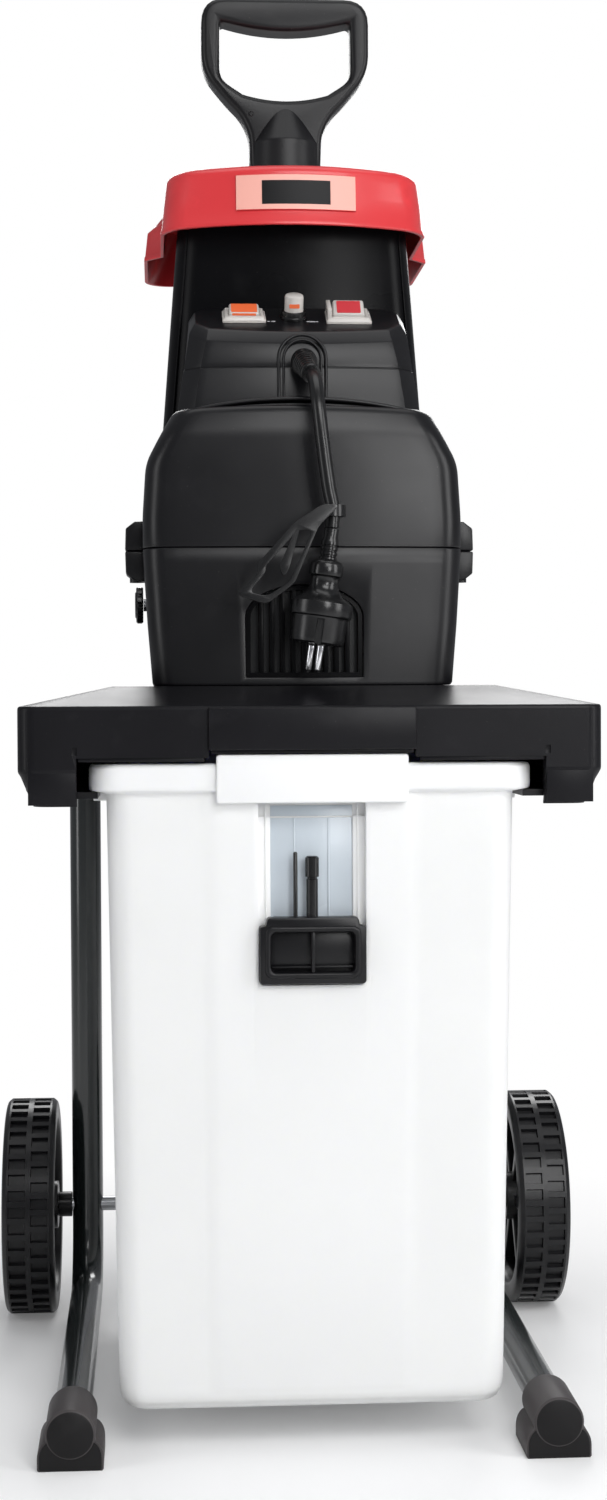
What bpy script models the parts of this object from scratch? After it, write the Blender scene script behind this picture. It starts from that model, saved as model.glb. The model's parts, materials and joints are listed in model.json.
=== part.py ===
"""An electric garden shredder on a wheeled tube frame, with a collection box under its deck.

Metres, +Z up. The origin is on the ground under the middle of the machine, and the front faces -Y.
"""

from math import atan2, cos, pi, radians, sin, sqrt

import bmesh
import bpy
from mathutils import Matrix, Vector

GAP = 0.0003                     # between two touching pieces
RUNNING = 0.0003                 # radial clearance of a turning or sliding fit

# Frame, wheels and feet
TUBE_RADIUS = 0.013
TUBE_WALL = 0.0016
TUBE_X = 0.167                   # tube centre plane, each side
TUBE_BEND = 0.050
FOOT_TUBE_Z = 0.025
UPRIGHT_Y = 0.157
FRAME_FRONT = -0.247
FOOT_CAP_LENGTH = 0.055
FOOT_CAP_WALL = 0.0042
FOOT_BLOCK_WIDTH = 0.045
WHEEL_RADIUS = 0.090
WHEEL_WIDTH = 0.043
WHEEL_SPACE = 0.012              # between tube and wheel
WHEEL_SHOULDER = 0.004
WHEEL_WEB_HALF = 0.006
TYRE_DEPTH = 0.020
HUB_RECESS = 0.010               # the hub's outer face behind the tyre's
AXLE_SHORT = 0.004               # the axle's end behind the tyre's outer face
HUB_RADIUS = 0.020
AXLE_RADIUS = 0.006
SPACER_RADIUS = 0.0105
HUB_CAP_RADIUS = 0.014
HUB_CAP_RISE = 0.006             # height of its sloping edge

# Deck
DECK_HALF = 0.200
DECK_FRONT = -0.239
DECK_BACK = 0.231
DECK_WALL = 0.004
DECK_FOOT_Z = 0.449
DECK_CHAMFER_Z = 0.473
DECK_CHAMFER = 0.010
DECK_EDGE_Z = 0.517
DECK_TOP_Z = 0.531
PLATEAU_HALF = 0.137
PLATEAU_FRONT = -0.165
PLATEAU_BACK = 0.195
SKIRT_Z = 0.482                  # lower edge of the front skirt
SKIRT_OPENING_HALF = 0.160
BROW_HALF = 0.0705               # raised block in the middle of the front skirt
BROW_DEPTH = 0.004
BROW_LOW = 0.4872
BROW_HIGH = 0.516
CHUTE_HALF = 0.050               # chip opening in deck and lower cover
CHUTE_FRONT = 0.008
CHUTE_BACK = 0.102
SOCKET_HALF = 0.0185
SOCKET_FLOOR = 0.014             # solid top of the tube socket
RAIL_INNER = 0.146
RAIL_THICKNESS = 0.0045
RAIL_WEB_TOP = 0.470

# Collection box
BOX_RIM_HALF = 0.1525
BOX_RIM_LOW = 0.459
BOX_RIM_HIGH = 0.478
BOX_TOP_HALF = 0.1405
BOX_FOOT_HALF = 0.134
BOX_FOOT_Z = 0.030
BOX_FRONT = -0.230
BOX_BACK = 0.124
BOX_FOOT_SHORTER = 0.008
BOX_RIM_OUT = 0.005
BOX_WALL = 0.0028
BOX_CORNER = 0.017
BOX_FOOT_CHAMFER = 0.006
PAD_HALF = 0.0655
PAD_LOW = 0.451
PAD_HIGH = 0.484
PAD_FRONT = -0.2385
PAD_BACK = -0.2310
POCKET_HALF = 0.0370
POCKET_LOW = 0.3255
POCKET_BACK = -0.2195

# Latch
LATCH_HALF = 0.0365
LATCH_LOW = 0.327
LATCH_HEIGHT = 0.0455
LATCH_FRONT = -0.2365
LATCH_BACK = -0.2225
FINGER_HALF = 0.029
FINGER_HEIGHT = 0.028
FINGER_DEPTH = 0.010
FINGER_RIB = 0.0015
ROD_Y = -0.2262
THIN_ROD_X = -0.0115
THIN_ROD_RADIUS = 0.0015
THIN_ROD_TOP = 0.417
THICK_ROD_RADIUS = 0.004
THICK_HEAD_RADIUS = 0.00475
THICK_HEAD_LOW = 0.398
THICK_ROD_TOP = 0.414
SWITCH_HALF = 0.016
SWITCH_DEPTH = 0.018
SWITCH_HIGH = 0.5125

# Motor covers
COVER_WALL = 0.003
COVER_HALF = 0.115
COVER_FOOT_HALF = 0.1085
COVER_SHOULDER_HALF = 0.1125
COVER_TOP_HALF = 0.089
COVER_FRONT = -0.156
COVER_BACK = 0.170
COVER_BOW = 0.006
COVER_FOOT_Z = 0.5313
COVER_SEAM_Z = 0.630
COVER_WIDE_Z = 0.652
COVER_SHOULDER_Z = 0.692
COVER_TOP_Z = 0.732
COVER_CORNER = 0.030
EAR_PROUD = 0.0165               # how far an ear stands out from the cover's side
EAR_Y = -0.099
EAR_HALF = 0.015
EAR_HEIGHT = 0.022
EAR_ROOT = 0.004                 # how far it reaches into the side
GRILLE_HALF = 0.042
GRILLE_LOW = 0.537
GRILLE_SIDE_TOP = 0.580
GRILLE_ARCH = 0.023
GRILLE_SLOTS = 8
GRILLE_SLOT = 0.0042
GRILLE_DEPTH = 0.010

# Control housing and its switches
PANEL_FOOT_HALF = 0.089
PANEL_FRONT_HALF = 0.0805
PANEL_FOOT_FRONT = -0.121
PANEL_EDGE_FRONT = -0.117
PANEL_BACK = -0.0675
PANEL_BOW = 0.007
PANEL_EDGE_Z = 0.790
PANEL_BACK_Z = 0.816
PANEL_WALL = 0.003
PANEL_CORNER = 0.012
FRAME_DEPTH = 0.006              # how far a switch frame reaches into the housing
MAIN_FRAME = (0.0335, 0.0265)    # across, along the slope
MAIN_X = 0.0380
MAIN_ROCKER = (0.0235, 0.0150)
MAIN_HIGH = (0.0055, 0.0125)     # front and back edge of the key above the panel
SELECTOR_FRAME = (0.0320, 0.0240)
SELECTOR_X = -0.0395
SELECTOR_ROCKER = (0.0225, 0.0130)
SELECTOR_HIGH = (0.0060, 0.0095)
RESET_X = -0.0025
FRAME_HIGH = 0.0045
ROCKER_SWING = 0.0016            # extra length of the opening in which a rocker tilts
RESET_COLLAR_RADIUS = 0.0100
RESET_BUTTON_RADIUS = 0.0070
RESET_HIGH = 0.018
RESET_COLLAR_HIGH = 0.0065
SWITCH_SLOPE_Y = 0.030           # from the panel's front edge up the slope to the row of switches

# Hopper, cap and plunger
HOPPER_WALL = 0.0035
HOPPER_FOOT_HALF = 0.062
HOPPER_KNEE_HALF = 0.100
HOPPER_TOP_HALF = 0.085
HOPPER_FOOT_DROP = 0.0081        # how far the hopper's foot lies under the gearbox's top
HOPPER_FUNNEL = 0.0677           # height of the slope from the foot to the knee
HOPPER_FRONT = -0.048
HOPPER_BACK = 0.150
HOPPER_BOW = 0.014
HOPPER_CORNER = 0.018
THROAT_Y = 0.055                 # middle of throat, plunger and cutting roller
THROAT_LONG = 0.046              # half length of the throat along Y
CAP_TOP_Z = 0.919
CAP_WALL = 0.003
CAP_FOOT_Z = 0.873
CAP_TOP_HALF = 0.108
CAP_HALF = 0.114
CAP_FRONT = -0.059
CAP_BACK = 0.163
CAP_FLARE = 0.006                # how much further forward the lower edge stands
CAP_BOW = 0.028
CAP_CORNER = 0.020
CAP_FRONT_RATIO = 0.885          # width at the front over the full width
CAP_WIDE_Y = 0.055               # where the full width is reached
LABEL_HALF = 0.0445
LABEL_LOW = 0.884
LABEL_HIGH = 0.911
LABEL_THICKNESS = 0.0012
FEED_HALF = 0.058
FEED_LONG = 0.048
COLLAR_HALF = 0.066
COLLAR_LONG = 0.056
COLLAR_HEIGHT = 0.006
HANDLE_TOP = 1.0815
HANDLE_HALF = 0.067
HANDLE_THICK = 0.027
HANDLE_BAR = 0.0180
HANDLE_CORNER = 0.020
NECK_HALF = 0.0295
NECK_TOP = 0.973
NECK_RADIUS = 0.0285
NECK_CONE_Z = 0.9580             # where the round neck starts to run into the flat handle
NECK_CONE_TOP = 0.9965
STRAIGHT_LOW = 1.031
WINDOW_HALF = 0.0525
SHAFT_HALF = 0.026
SHAFT_LONG = 0.020
PLUNGER_FOOT_HALF = 0.052
PLUNGER_FOOT_LONG = 0.042
PLUNGER_FOOT_Z = 0.735
PLUNGER_FOOT_HEIGHT = 0.014

# Drive
MODULE = 0.0012
PINION_TEETH = 12
GEAR_TEETH = 60
TIP = 0.75                       # tooth height above the pitch circle, in modules
ROOT = 1.10                      # tooth depth below it
ROLLER_Z = 0.600
MOTOR_Z = 0.640
ROLLER_RADIUS = 0.042
ROLLER_SHAFT_RADIUS = 0.008
CHAMBER_LEFT = -0.082
CHAMBER_RIGHT = 0.056
CHAMBER_FRONT = 0.000
CHAMBER_BACK = 0.110
CHAMBER_WALL = 0.006
BEARING_RADIUS = 0.014
GEARBOX_FRONT = -0.044
GEARBOX_WALL = 0.004
GEARBOX_CLEARANCE = 0.0015       # between the gear tips and the cover
FIRST_STAGE = (-0.036, -0.027)   # Y span of the first pair of gears
SECOND_STAGE = (-0.024, -0.010)
MOTOR_CAN_RADIUS = 0.0490
MOTOR_CAN_WALL = 0.0025
MOTOR_CAN_FRONT = -0.140
STATOR_SPAN = (-0.122, -0.072)
STATOR_BORE = 0.0270
ROTOR_RADIUS = 0.0262
MOTOR_SHAFT_RADIUS = 0.005
PLATE_LEFT = -0.066
PLATE_RIGHT = -0.0435
PLATE_HALF_HEIGHT = 0.022
ADJUSTER_Z = 0.5975
SCREW_RADIUS = 0.005
SCREW_TIP = -0.062
PLATE_HOLE_DEPTH = 0.010
END_PLAY = 0.0005                # between the plate or a bearing and the chamber's wall
KNOB_RADIUS = 0.0150
KNOB_GAP = 0.0010                # between the knob and the cover's widest line
KNOB_THICKNESS = 0.0065
KNOB_FLUTES = 12
CAPACITOR_RADIUS = 0.016
CAPACITOR_LENGTH = 0.060
CAPACITOR_X = -0.080

# Cord, plug and hook
GLAND = Vector((0.0015, -0.128, 0.768))
CORD_RADIUS = 0.005
CORD_EXIT = Vector((0.0059, -0.1580, 0.7530))
CORD_ROUTE = (
    (0.0059, -0.1580, 0.7530),
    (0.0074, -0.1686, 0.7475),
    (0.0082, -0.1768, 0.7390),
    (0.0089, -0.1823, 0.7280),
    (0.0101, -0.1852, 0.7150),
    (0.0117, -0.1866, 0.7005),
    (0.0136, -0.1874, 0.6850),
    (0.0158, -0.1880, 0.6690),
    (0.0184, -0.1883, 0.6550),
    (0.0178, -0.1884, 0.6415),
)
CORD_STEPS = 2                   # points of the cord for each stretch of the route
PLUG_TILT = radians(8.0)
BOOT_LONG = 0.034
PLUG_RADIUS = 0.022
PIN_RADIUS = 0.0024
PIN_LENGTH = 0.019
PIN_SPACING = 0.019
PIN_TURN = radians(16.0)           # the plug's turn about its own axis
HOOK_THICKNESS = 0.0052
HOOK_OUTLINE = (                 # across and up from the eye, the arm leaning down to the left
    (0.0042, 0.0036), (-0.0108, -0.0115), (-0.0276, -0.0508), (-0.0472, -0.0655), (-0.0676, -0.0592),
    (-0.0528, -0.0438), (-0.0535, -0.0375), (-0.0276, -0.0087), (-0.0080, 0.0040),
)
HOOK_WINDOW = (
    (-0.0150, -0.0140), (-0.0312, -0.0500), (-0.0470, -0.0600), (-0.0592, -0.0572), (-0.0475, -0.0430),
    (-0.0482, -0.0395), (-0.0252, -0.0138),
)
HOOK_TONGUE = ((-0.0225, -0.0080), (-0.0310, -0.0400), (-0.0350, -0.0470), (-0.0385, -0.0400), (-0.0265, -0.0120))

BLACK = ((0.012, 0.012, 0.014, 1.0), 0.45, 0.0)
SOFT_BLACK = ((0.015, 0.015, 0.016, 1.0), 0.6, 0.0)
RED = ((0.62, 0.015, 0.025, 1.0), 0.35, 0.0)
PALE_RED = ((0.9, 0.4, 0.36, 1.0), 0.5, 0.0)
WHITE = ((0.90, 0.91, 0.92, 1.0), 0.4, 0.0)
TUBE_GREY = ((0.025, 0.03, 0.03, 1.0), 0.25, 0.6)
FOOT_GREY = ((0.06, 0.055, 0.055, 1.0), 0.6, 0.0)
STEEL = ((0.55, 0.56, 0.58, 1.0), 0.3, 1.0)
CAST = ((0.45, 0.46, 0.47, 1.0), 0.55, 0.9)
COPPER = ((0.55, 0.25, 0.12, 1.0), 0.4, 0.7)
CLEAR = ((0.85, 0.80, 0.74, 1.0), 0.15, 0.0)
ORANGE = ((0.83, 0.16, 0.06, 1.0), 0.3, 0.0)
SWITCH_RED = ((0.60, 0.05, 0.06, 1.0), 0.3, 0.0)


# Places that follow from the gears
MOTOR_AXIS = (0.0, MOTOR_Z)
ROLLER_AXIS = (0.0, ROLLER_Z)
CENTRES = (PINION_TEETH + GEAR_TEETH) * MODULE / 2
IDLER_AXIS = (sqrt(CENTRES ** 2 - ((MOTOR_Z - ROLLER_Z) / 2) ** 2), (MOTOR_Z + ROLLER_Z) / 2)
GEARBOX_REACH = GEAR_TEETH * MODULE / 2 + TIP * MODULE + GEARBOX_CLEARANCE + GEARBOX_WALL
HOPPER_FOOT_Z = IDLER_AXIS[1] + GEARBOX_REACH - HOPPER_FOOT_DROP
HOPPER_KNEE_Z = HOPPER_FOOT_Z + HOPPER_FUNNEL
CHAMBER_HIGH = HOPPER_FOOT_Z - GAP


# Building blocks

def finish(obj, look):
    colour, roughness, metallic = look
    material = bpy.data.materials.new(obj.name + "_finish")
    material.use_nodes = True
    shader = material.node_tree.nodes["Principled BSDF"]
    shader.inputs["Base Color"].default_value = colour
    shader.inputs["Roughness"].default_value = roughness
    shader.inputs["Metallic"].default_value = metallic
    obj.data.materials.clear()
    obj.data.materials.append(material)
    return obj


def from_bmesh(name, bm, look, smooth):
    bmesh.ops.recalc_face_normals(bm, faces=bm.faces)
    mesh = bpy.data.meshes.new(name)
    bm.to_mesh(mesh)
    bm.free()
    if smooth:
        mesh.shade_smooth()
        mesh.set_sharp_from_angle(angle=radians(35))
    obj = bpy.data.objects.new(name, mesh)
    bpy.context.scene.collection.objects.link(obj)
    return finish(obj, look)


def loft(name, loops, look, ring=False, smooth=True):
    """Joins loops of equal length in order. A ring joins the last loop to the first, else both ends are capped."""
    bm = bmesh.new()
    rows = [[bm.verts.new(point) for point in loop] for loop in loops]
    pairs = list(zip(rows, rows[1:]))
    if ring:
        pairs.append((rows[-1], rows[0]))
    count = len(rows[0])
    for low, high in pairs:
        for i in range(count):
            j = (i + 1) % count
            bm.faces.new((low[i], low[j], high[j], high[i]))
    if not ring:
        bm.faces.new(rows[0])
        bm.faces.new(rows[-1])
    return from_bmesh(name, bm, look, smooth)


def on_axis(axis, along, u, v):
    """The point at u, v across an axis: X takes Y and Z, Y takes X and Z, Z takes X and Y."""
    if axis == "X":
        return Vector((along, u, v))
    if axis == "Y":
        return Vector((u, along, v))
    return Vector((u, v, along))


def prism(name, outline, axis, low, high, look, smooth=False):
    loops = [[on_axis(axis, along, u, v) for u, v in outline] for along in (low, high)]
    return loft(name, loops, look, smooth=smooth)


def block(name, low, high, look=BLACK):
    outline = ((low[0], low[1]), (high[0], low[1]), (high[0], high[1]), (low[0], high[1]))
    return prism(name, outline, "Z", low[2], high[2], look)


def circle(radius, centre=(0.0, 0.0), steps=20):
    return [
        (centre[0] + radius * cos(2 * pi * i / steps), centre[1] + radius * sin(2 * pi * i / steps))
        for i in range(steps)
    ]


def turned(name, profile, axis, centre, look, steps=20, ring=False):
    """Turns (radius, along) points about an axis through centre. A ring profile closes on itself."""
    loops = [
        [on_axis(axis, along, u, v) for u, v in circle(radius, centre, steps)]
        for radius, along in profile
    ]
    return loft(name, loops, look, ring=ring)


def sleeve(name, axis, centre, outer, inner, low, high, look, steps=20):
    profile = ((inner, low), (outer, low), (outer, high), (inner, high))
    return turned(name, profile, axis, centre, look, steps, ring=True)


def rounded_loop(half, front, back, corner, height, bow=0.0, front_ratio=1.0, wide_y=0.0, arc=3):
    """A rectangle with round corners and a bowed front. Height is a number or a function of y."""
    points = []
    corners = (
        (half - corner, front + corner, -pi / 2),
        (half - corner, back - corner, 0.0),
        (-half + corner, back - corner, pi / 2),
        (-half + corner, front + corner, pi),
    )
    for x, y, start in corners:
        for i in range(arc + 1):
            angle = start + pi / 2 * i / arc
            points.append((x + corner * cos(angle), y + corner * sin(angle)))
    if bow:
        for share in (-0.5, 0.0, 0.5):
            points.append((share * 2 * (half - corner) * 0.7, front))
    loop = []
    for x, y in points:
        ratio = front_ratio
        if front_ratio < 1.0:
            ratio += (1.0 - front_ratio) * min(1.0, (y - front) / (wide_y - front))
        forward = bow * (1.0 - (x / half) ** 2) if y < front + corner else 0.0
        z = height(y - forward) if callable(height) else height
        loop.append(Vector((x * ratio, y - forward, z)))
    return loop


def inset(section, wall):
    half, front, back, corner, height, *rest = section
    return (half - wall, front + wall, back - wall, max(corner - wall, 0.002), height, *rest)


def shifted(loop, rise):
    return [point + Vector((0.0, 0.0, rise)) for point in loop]


def tub(name, sections, wall, floor, look):
    """A vessel whose first section is the closed end. Floor is the closed end's thickness, upward positive."""
    outer = [rounded_loop(*section) for section in sections]
    inner = [rounded_loop(*inset(section, wall)) for section in reversed(sections)]
    inner[-1] = shifted(inner[-1], floor)
    return loft(name, outer + inner, look)


def boolean(target, operation, tool):
    tool.hide_render = True
    tool.display_type = "WIRE"
    modifier = target.modifiers.new(operation.lower(), "BOOLEAN")
    modifier.operation = operation
    modifier.object = tool
    return target


def cut(target, tool):
    return boolean(target, "DIFFERENCE", tool)


def join(target, tool):
    return boolean(target, "UNION", tool)


def bevel(obj, width, segments=1):
    modifier = obj.modifiers.new("soft_edges", "BEVEL")
    modifier.width = width
    modifier.segments = segments
    modifier.limit_method = "ANGLE"
    modifier.angle_limit = radians(40)
    return obj


def drill(target, name, axis, centre, radius, low, high, steps=20):
    return cut(target, prism(name, circle(radius, centre, steps), axis, low, high, BLACK))


def move_origin(obj, point):
    """Puts the object's origin on its joint without moving the piece."""
    point = Vector(point)
    obj.data.transform(Matrix.Translation(-point))
    obj.location = point
    return obj


def joint_empty(name, point, pieces):
    empty = bpy.data.objects.new(name, None)
    empty.empty_display_size = 0.03
    empty.location = point
    bpy.context.scene.collection.objects.link(empty)
    for piece in pieces:
        piece.parent = empty
        piece.location = piece.location - empty.location
    return empty


def mirrored_outline(half_outline):
    """Closes an outline given by its right half, from bottom to top."""
    left = [(-u, v) for u, v in reversed(half_outline) if u > 0.0]
    return list(half_outline) + left


# Frame, wheels and feet

def sweep_loops(path, radius, steps):
    """Circles across a path in a plane of constant X."""
    loops = []
    for i, point in enumerate(path):
        ahead = path[min(i + 1, len(path) - 1)] - path[max(i - 1, 0)]
        ahead.normalize()
        side = Vector((1.0, 0.0, 0.0))
        upward = side.cross(ahead)
        loop = []
        for j in range(steps):
            angle = 2 * pi * j / steps
            loop.append(point + radius * (cos(angle) * side + sin(angle) * upward))
        loops.append(loop)
    return loops


def frame_tube(side, sign):
    bend_y = UPRIGHT_Y - TUBE_BEND
    bend_z = FOOT_TUBE_Z + TUBE_BEND
    path = [Vector((sign * TUBE_X, FRAME_FRONT + FOOT_CAP_WALL + GAP, FOOT_TUBE_Z))]
    for i in range(7):
        angle = pi / 2 * i / 6
        path.append(Vector((sign * TUBE_X, bend_y + TUBE_BEND * sin(angle), bend_z - TUBE_BEND * cos(angle))))
    path.append(Vector((sign * TUBE_X, UPRIGHT_Y, socket_top() - SOCKET_FLOOR - GAP)))
    outer = sweep_loops(path, TUBE_RADIUS, 12)
    inner = sweep_loops(path, TUBE_RADIUS - TUBE_WALL, 12)
    tube = loft("frame_tube_" + side, outer + inner[::-1], TUBE_GREY, ring=True)
    centre = (UPRIGHT_Y, WHEEL_RADIUS)
    drill(tube, "axle_hole_" + side, "X", centre, AXLE_RADIUS + GAP, sign * TUBE_X - 0.02, sign * TUBE_X + 0.02)
    return tube


def foot_cap(side, sign):
    """A sleeve on the tube's front end with a flat block under it."""
    x = sign * TUBE_X
    radius = TUBE_RADIUS + FOOT_CAP_WALL
    back = FRAME_FRONT + FOOT_CAP_LENGTH
    cap = prism("foot_cap_" + side, circle(radius, (x, FOOT_TUBE_Z)), "Y", FRAME_FRONT, back, FOOT_GREY, True)
    half = FOOT_BLOCK_WIDTH / 2
    foot = ((x - half, 0.0), (x + half, 0.0), (x + half, 0.006), (x + radius * 0.9, 0.020), (x - radius * 0.9, 0.020),
            (x - half, 0.006))
    join(cap, prism("foot_block_" + side, foot, "Y", FRAME_FRONT + 0.001, back - 0.006, FOOT_GREY))
    bore = circle(TUBE_RADIUS + GAP, (x, FOOT_TUBE_Z), 16)
    return cut(cap, prism("foot_bore_" + side, bore, "Y", FRAME_FRONT + FOOT_CAP_WALL, back + 0.01, FOOT_GREY))


def wheel(side, sign):
    """Tyre and rim in one moulding, turned about the axle, with a dished outer face."""
    inner_face = TUBE_X + TUBE_RADIUS + WHEEL_SPACE
    outer_face = inner_face + WHEEL_WIDTH
    shoulder = WHEEL_SHOULDER
    web = WHEEL_WEB_HALF
    middle = (inner_face + outer_face) / 2
    bore = AXLE_RADIUS + RUNNING
    tyre = WHEEL_RADIUS - TYRE_DEPTH
    profile = (
        (bore, inner_face), (HUB_RADIUS, inner_face), (HUB_RADIUS, middle - web), (tyre, middle - web),
        (tyre + 0.003, inner_face + 0.003), (WHEEL_RADIUS - shoulder, inner_face),
        (WHEEL_RADIUS, inner_face + shoulder), (WHEEL_RADIUS, outer_face - shoulder),
        (WHEEL_RADIUS - shoulder, outer_face), (tyre + 0.003, outer_face - 0.003), (tyre, middle + web),
        (HUB_RADIUS, middle + web), (HUB_RADIUS, outer_face - HUB_RECESS), (bore, outer_face - HUB_RECESS),
    )
    signed = [(radius, sign * along) for radius, along in profile]
    centre = (UPRIGHT_Y, WHEEL_RADIUS)
    piece = turned("wheel_" + side, signed, "X", centre, BLACK, 32, ring=True)
    return move_origin(piece, (sign * middle, UPRIGHT_Y, WHEEL_RADIUS))


def axle_parts():
    centre = (UPRIGHT_Y, WHEEL_RADIUS)
    inner_face = TUBE_X + TUBE_RADIUS + WHEEL_SPACE
    outer_face = inner_face + WHEEL_WIDTH
    end = outer_face - AXLE_SHORT
    turned("axle_rod", ((AXLE_RADIUS, -end), (AXLE_RADIUS, end)), "X", centre, STEEL)
    bore = AXLE_RADIUS + GAP
    for side, sign in (("left", -1), ("right", 1)):
        low = sign * (TUBE_X + TUBE_RADIUS + GAP)
        high = sign * (inner_face - GAP)
        sleeve("wheel_spacer_" + side, "X", centre, SPACER_RADIUS, bore, low, high, BLACK)
        shank = outer_face - HUB_RECESS + GAP
        rim = outer_face - HUB_CAP_RISE
        cap = ((bore, sign * shank), (HUB_CAP_RADIUS, sign * shank), (HUB_CAP_RADIUS, sign * rim),
               (HUB_CAP_RADIUS * 0.6, sign * outer_face), (0.003, sign * outer_face),
               (0.003, sign * (end + GAP)), (bore, sign * (end + GAP)))
        turned("hub_cap_" + side, cap, "X", centre, STEEL, ring=True)


# Deck

def deck_slope_z(x):
    """Height of the deck's outer face at x, between its edge and the plateau."""
    share = (DECK_HALF - abs(x)) / (DECK_HALF - PLATEAU_HALF)
    return DECK_EDGE_Z + (DECK_TOP_Z - DECK_EDGE_Z) * min(share, 1.0)


def socket_top():
    """The tube sockets hang from the sloping underside, so their outer edge sets their height."""
    return deck_slope_z(TUBE_X + SOCKET_HALF + DECK_WALL) - DECK_WALL - 2 * GAP


def deck_shell():
    foot = DECK_HALF - DECK_CHAMFER
    sections = (
        (PLATEAU_HALF, PLATEAU_FRONT, PLATEAU_BACK, 0.008, DECK_TOP_Z),
        (DECK_HALF, DECK_FRONT, DECK_BACK, 0.012, DECK_EDGE_Z),
        (DECK_HALF, DECK_FRONT, DECK_BACK, 0.012, DECK_CHAMFER_Z),
        (foot, DECK_FRONT + DECK_CHAMFER, DECK_BACK - DECK_CHAMFER, 0.012, DECK_FOOT_Z),
    )
    outer = [rounded_loop(*section) for section in sections]
    inner = [rounded_loop(*inset(section, DECK_WALL)) for section in reversed(sections)]
    inner[-1] = shifted(inner[-1], -DECK_WALL)
    inner[-2] = shifted(inner[-2], -DECK_WALL)
    deck = loft("deck_shell", outer + inner, BLACK)
    low = (-BROW_HALF, DECK_FRONT - BROW_DEPTH, BROW_LOW)
    high = (BROW_HALF, DECK_FRONT + DECK_WALL / 2, BROW_HIGH)
    join(deck, block("deck_brow", low, high))
    opening = SKIRT_OPENING_HALF
    cut(deck, block("skirt_cut", (-opening, DECK_FRONT - 0.02, 0.40), (opening, DECK_FRONT + 0.06, SKIRT_Z)))
    brow = (-BROW_HALF, DECK_FRONT - 0.02, 0.40)
    cut(deck, block("brow_cut", brow, (BROW_HALF, DECK_FRONT + 0.06, BROW_LOW)))
    chute_low = (-CHUTE_HALF, CHUTE_FRONT, 0.50)
    return cut(deck, block("chute_cut", chute_low, (CHUTE_HALF, CHUTE_BACK, 0.56)))


def frame_socket(side, sign):
    x = sign * TUBE_X
    low = (x - SOCKET_HALF, UPRIGHT_Y - SOCKET_HALF, DECK_FOOT_Z + 0.001)
    high = (x + SOCKET_HALF, UPRIGHT_Y + SOCKET_HALF, socket_top())
    socket = block("frame_socket_" + side, low, high)
    bore = circle(TUBE_RADIUS + GAP, (x, UPRIGHT_Y), 16)
    top = socket_top() - SOCKET_FLOOR
    return cut(socket, prism("socket_bore_" + side, bore, "Z", DECK_FOOT_Z - 0.01, top, BLACK))


def box_rail(side, sign):
    """A ledge under the box's rim with a web against the deck's side wall."""
    outer = DECK_HALF - DECK_CHAMFER - DECK_WALL - GAP
    high = BOX_RIM_LOW - GAP
    low = high - RAIL_THICKNESS
    web = outer - RAIL_THICKNESS
    outline = ((RAIL_INNER, low), (outer, low), (outer, RAIL_WEB_TOP), (web, RAIL_WEB_TOP), (web, high),
               (RAIL_INNER, high))
    signed = [(sign * x, z) for x, z in outline]
    back = UPRIGHT_Y - SOCKET_HALF - GAP
    front = DECK_FRONT + DECK_CHAMFER + DECK_WALL + GAP
    return prism("box_rail_" + side, signed, "Y", front, back, BLACK)


def safety_switch():
    wall = DECK_FRONT + DECK_WALL + GAP
    low = (-SWITCH_HALF, wall, BROW_LOW)
    switch = block("safety_switch", low, (SWITCH_HALF, wall + SWITCH_DEPTH, SWITCH_HIGH), SOFT_BLACK)
    return bevel(switch, 0.001)


# Collection box and latch

def collection_box():
    """Sections run from the outer floor up to the rim and back down inside."""
    foot_front = BOX_FRONT + BOX_FOOT_SHORTER
    foot_back = BOX_BACK - BOX_FOOT_SHORTER
    rim_front = BOX_FRONT - BOX_RIM_OUT
    rim_back = BOX_BACK + BOX_RIM_OUT
    wall = BOX_WALL
    corner = BOX_CORNER
    foot = (BOX_FOOT_HALF, foot_front, foot_back, corner, BOX_FOOT_Z + BOX_FOOT_CHAMFER)
    top = (BOX_TOP_HALF, BOX_FRONT, BOX_BACK, corner, BOX_RIM_LOW)
    rim_low = (BOX_RIM_HALF, rim_front, rim_back, corner, BOX_RIM_LOW)
    rim_high = (BOX_RIM_HALF, rim_front, rim_back, corner, BOX_RIM_HIGH)
    loops = [
        rounded_loop(*inset(foot, BOX_FOOT_CHAMFER)[:4], BOX_FOOT_Z),
        rounded_loop(*foot),
        rounded_loop(*top),
        rounded_loop(*rim_low),
        rounded_loop(*rim_high),
        rounded_loop(*inset(top, wall)[:4], BOX_RIM_HIGH),
        rounded_loop(*inset(foot, wall)),
        rounded_loop(*inset(foot, BOX_FOOT_CHAMFER)[:4], BOX_FOOT_Z + wall),
    ]
    box = loft("collection_box", loops, WHITE)
    wide = POCKET_HALF + BOX_WALL
    back = POCKET_BACK + BOX_WALL
    join(box, block("pad", (-PAD_HALF, PAD_FRONT, PAD_LOW), (PAD_HALF, BOX_FRONT + 0.001, PAD_HIGH)))
    join(box, block("pocket_wall", (-wide, BOX_FRONT + 0.0013, POCKET_LOW - BOX_WALL), (wide, back, BOX_RIM_HIGH - 0.001)))
    cut(box, block("pocket_cut", (-POCKET_HALF, -0.26, POCKET_LOW), (POCKET_HALF, POCKET_BACK, PAD_LOW)))
    cut(box, block("rod_channel", (-POCKET_HALF, PAD_BACK, PAD_LOW - 0.01), (POCKET_HALF, POCKET_BACK, 0.50)))
    return move_origin(box, (0.0, BOX_FRONT, BOX_RIM_LOW))


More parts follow.
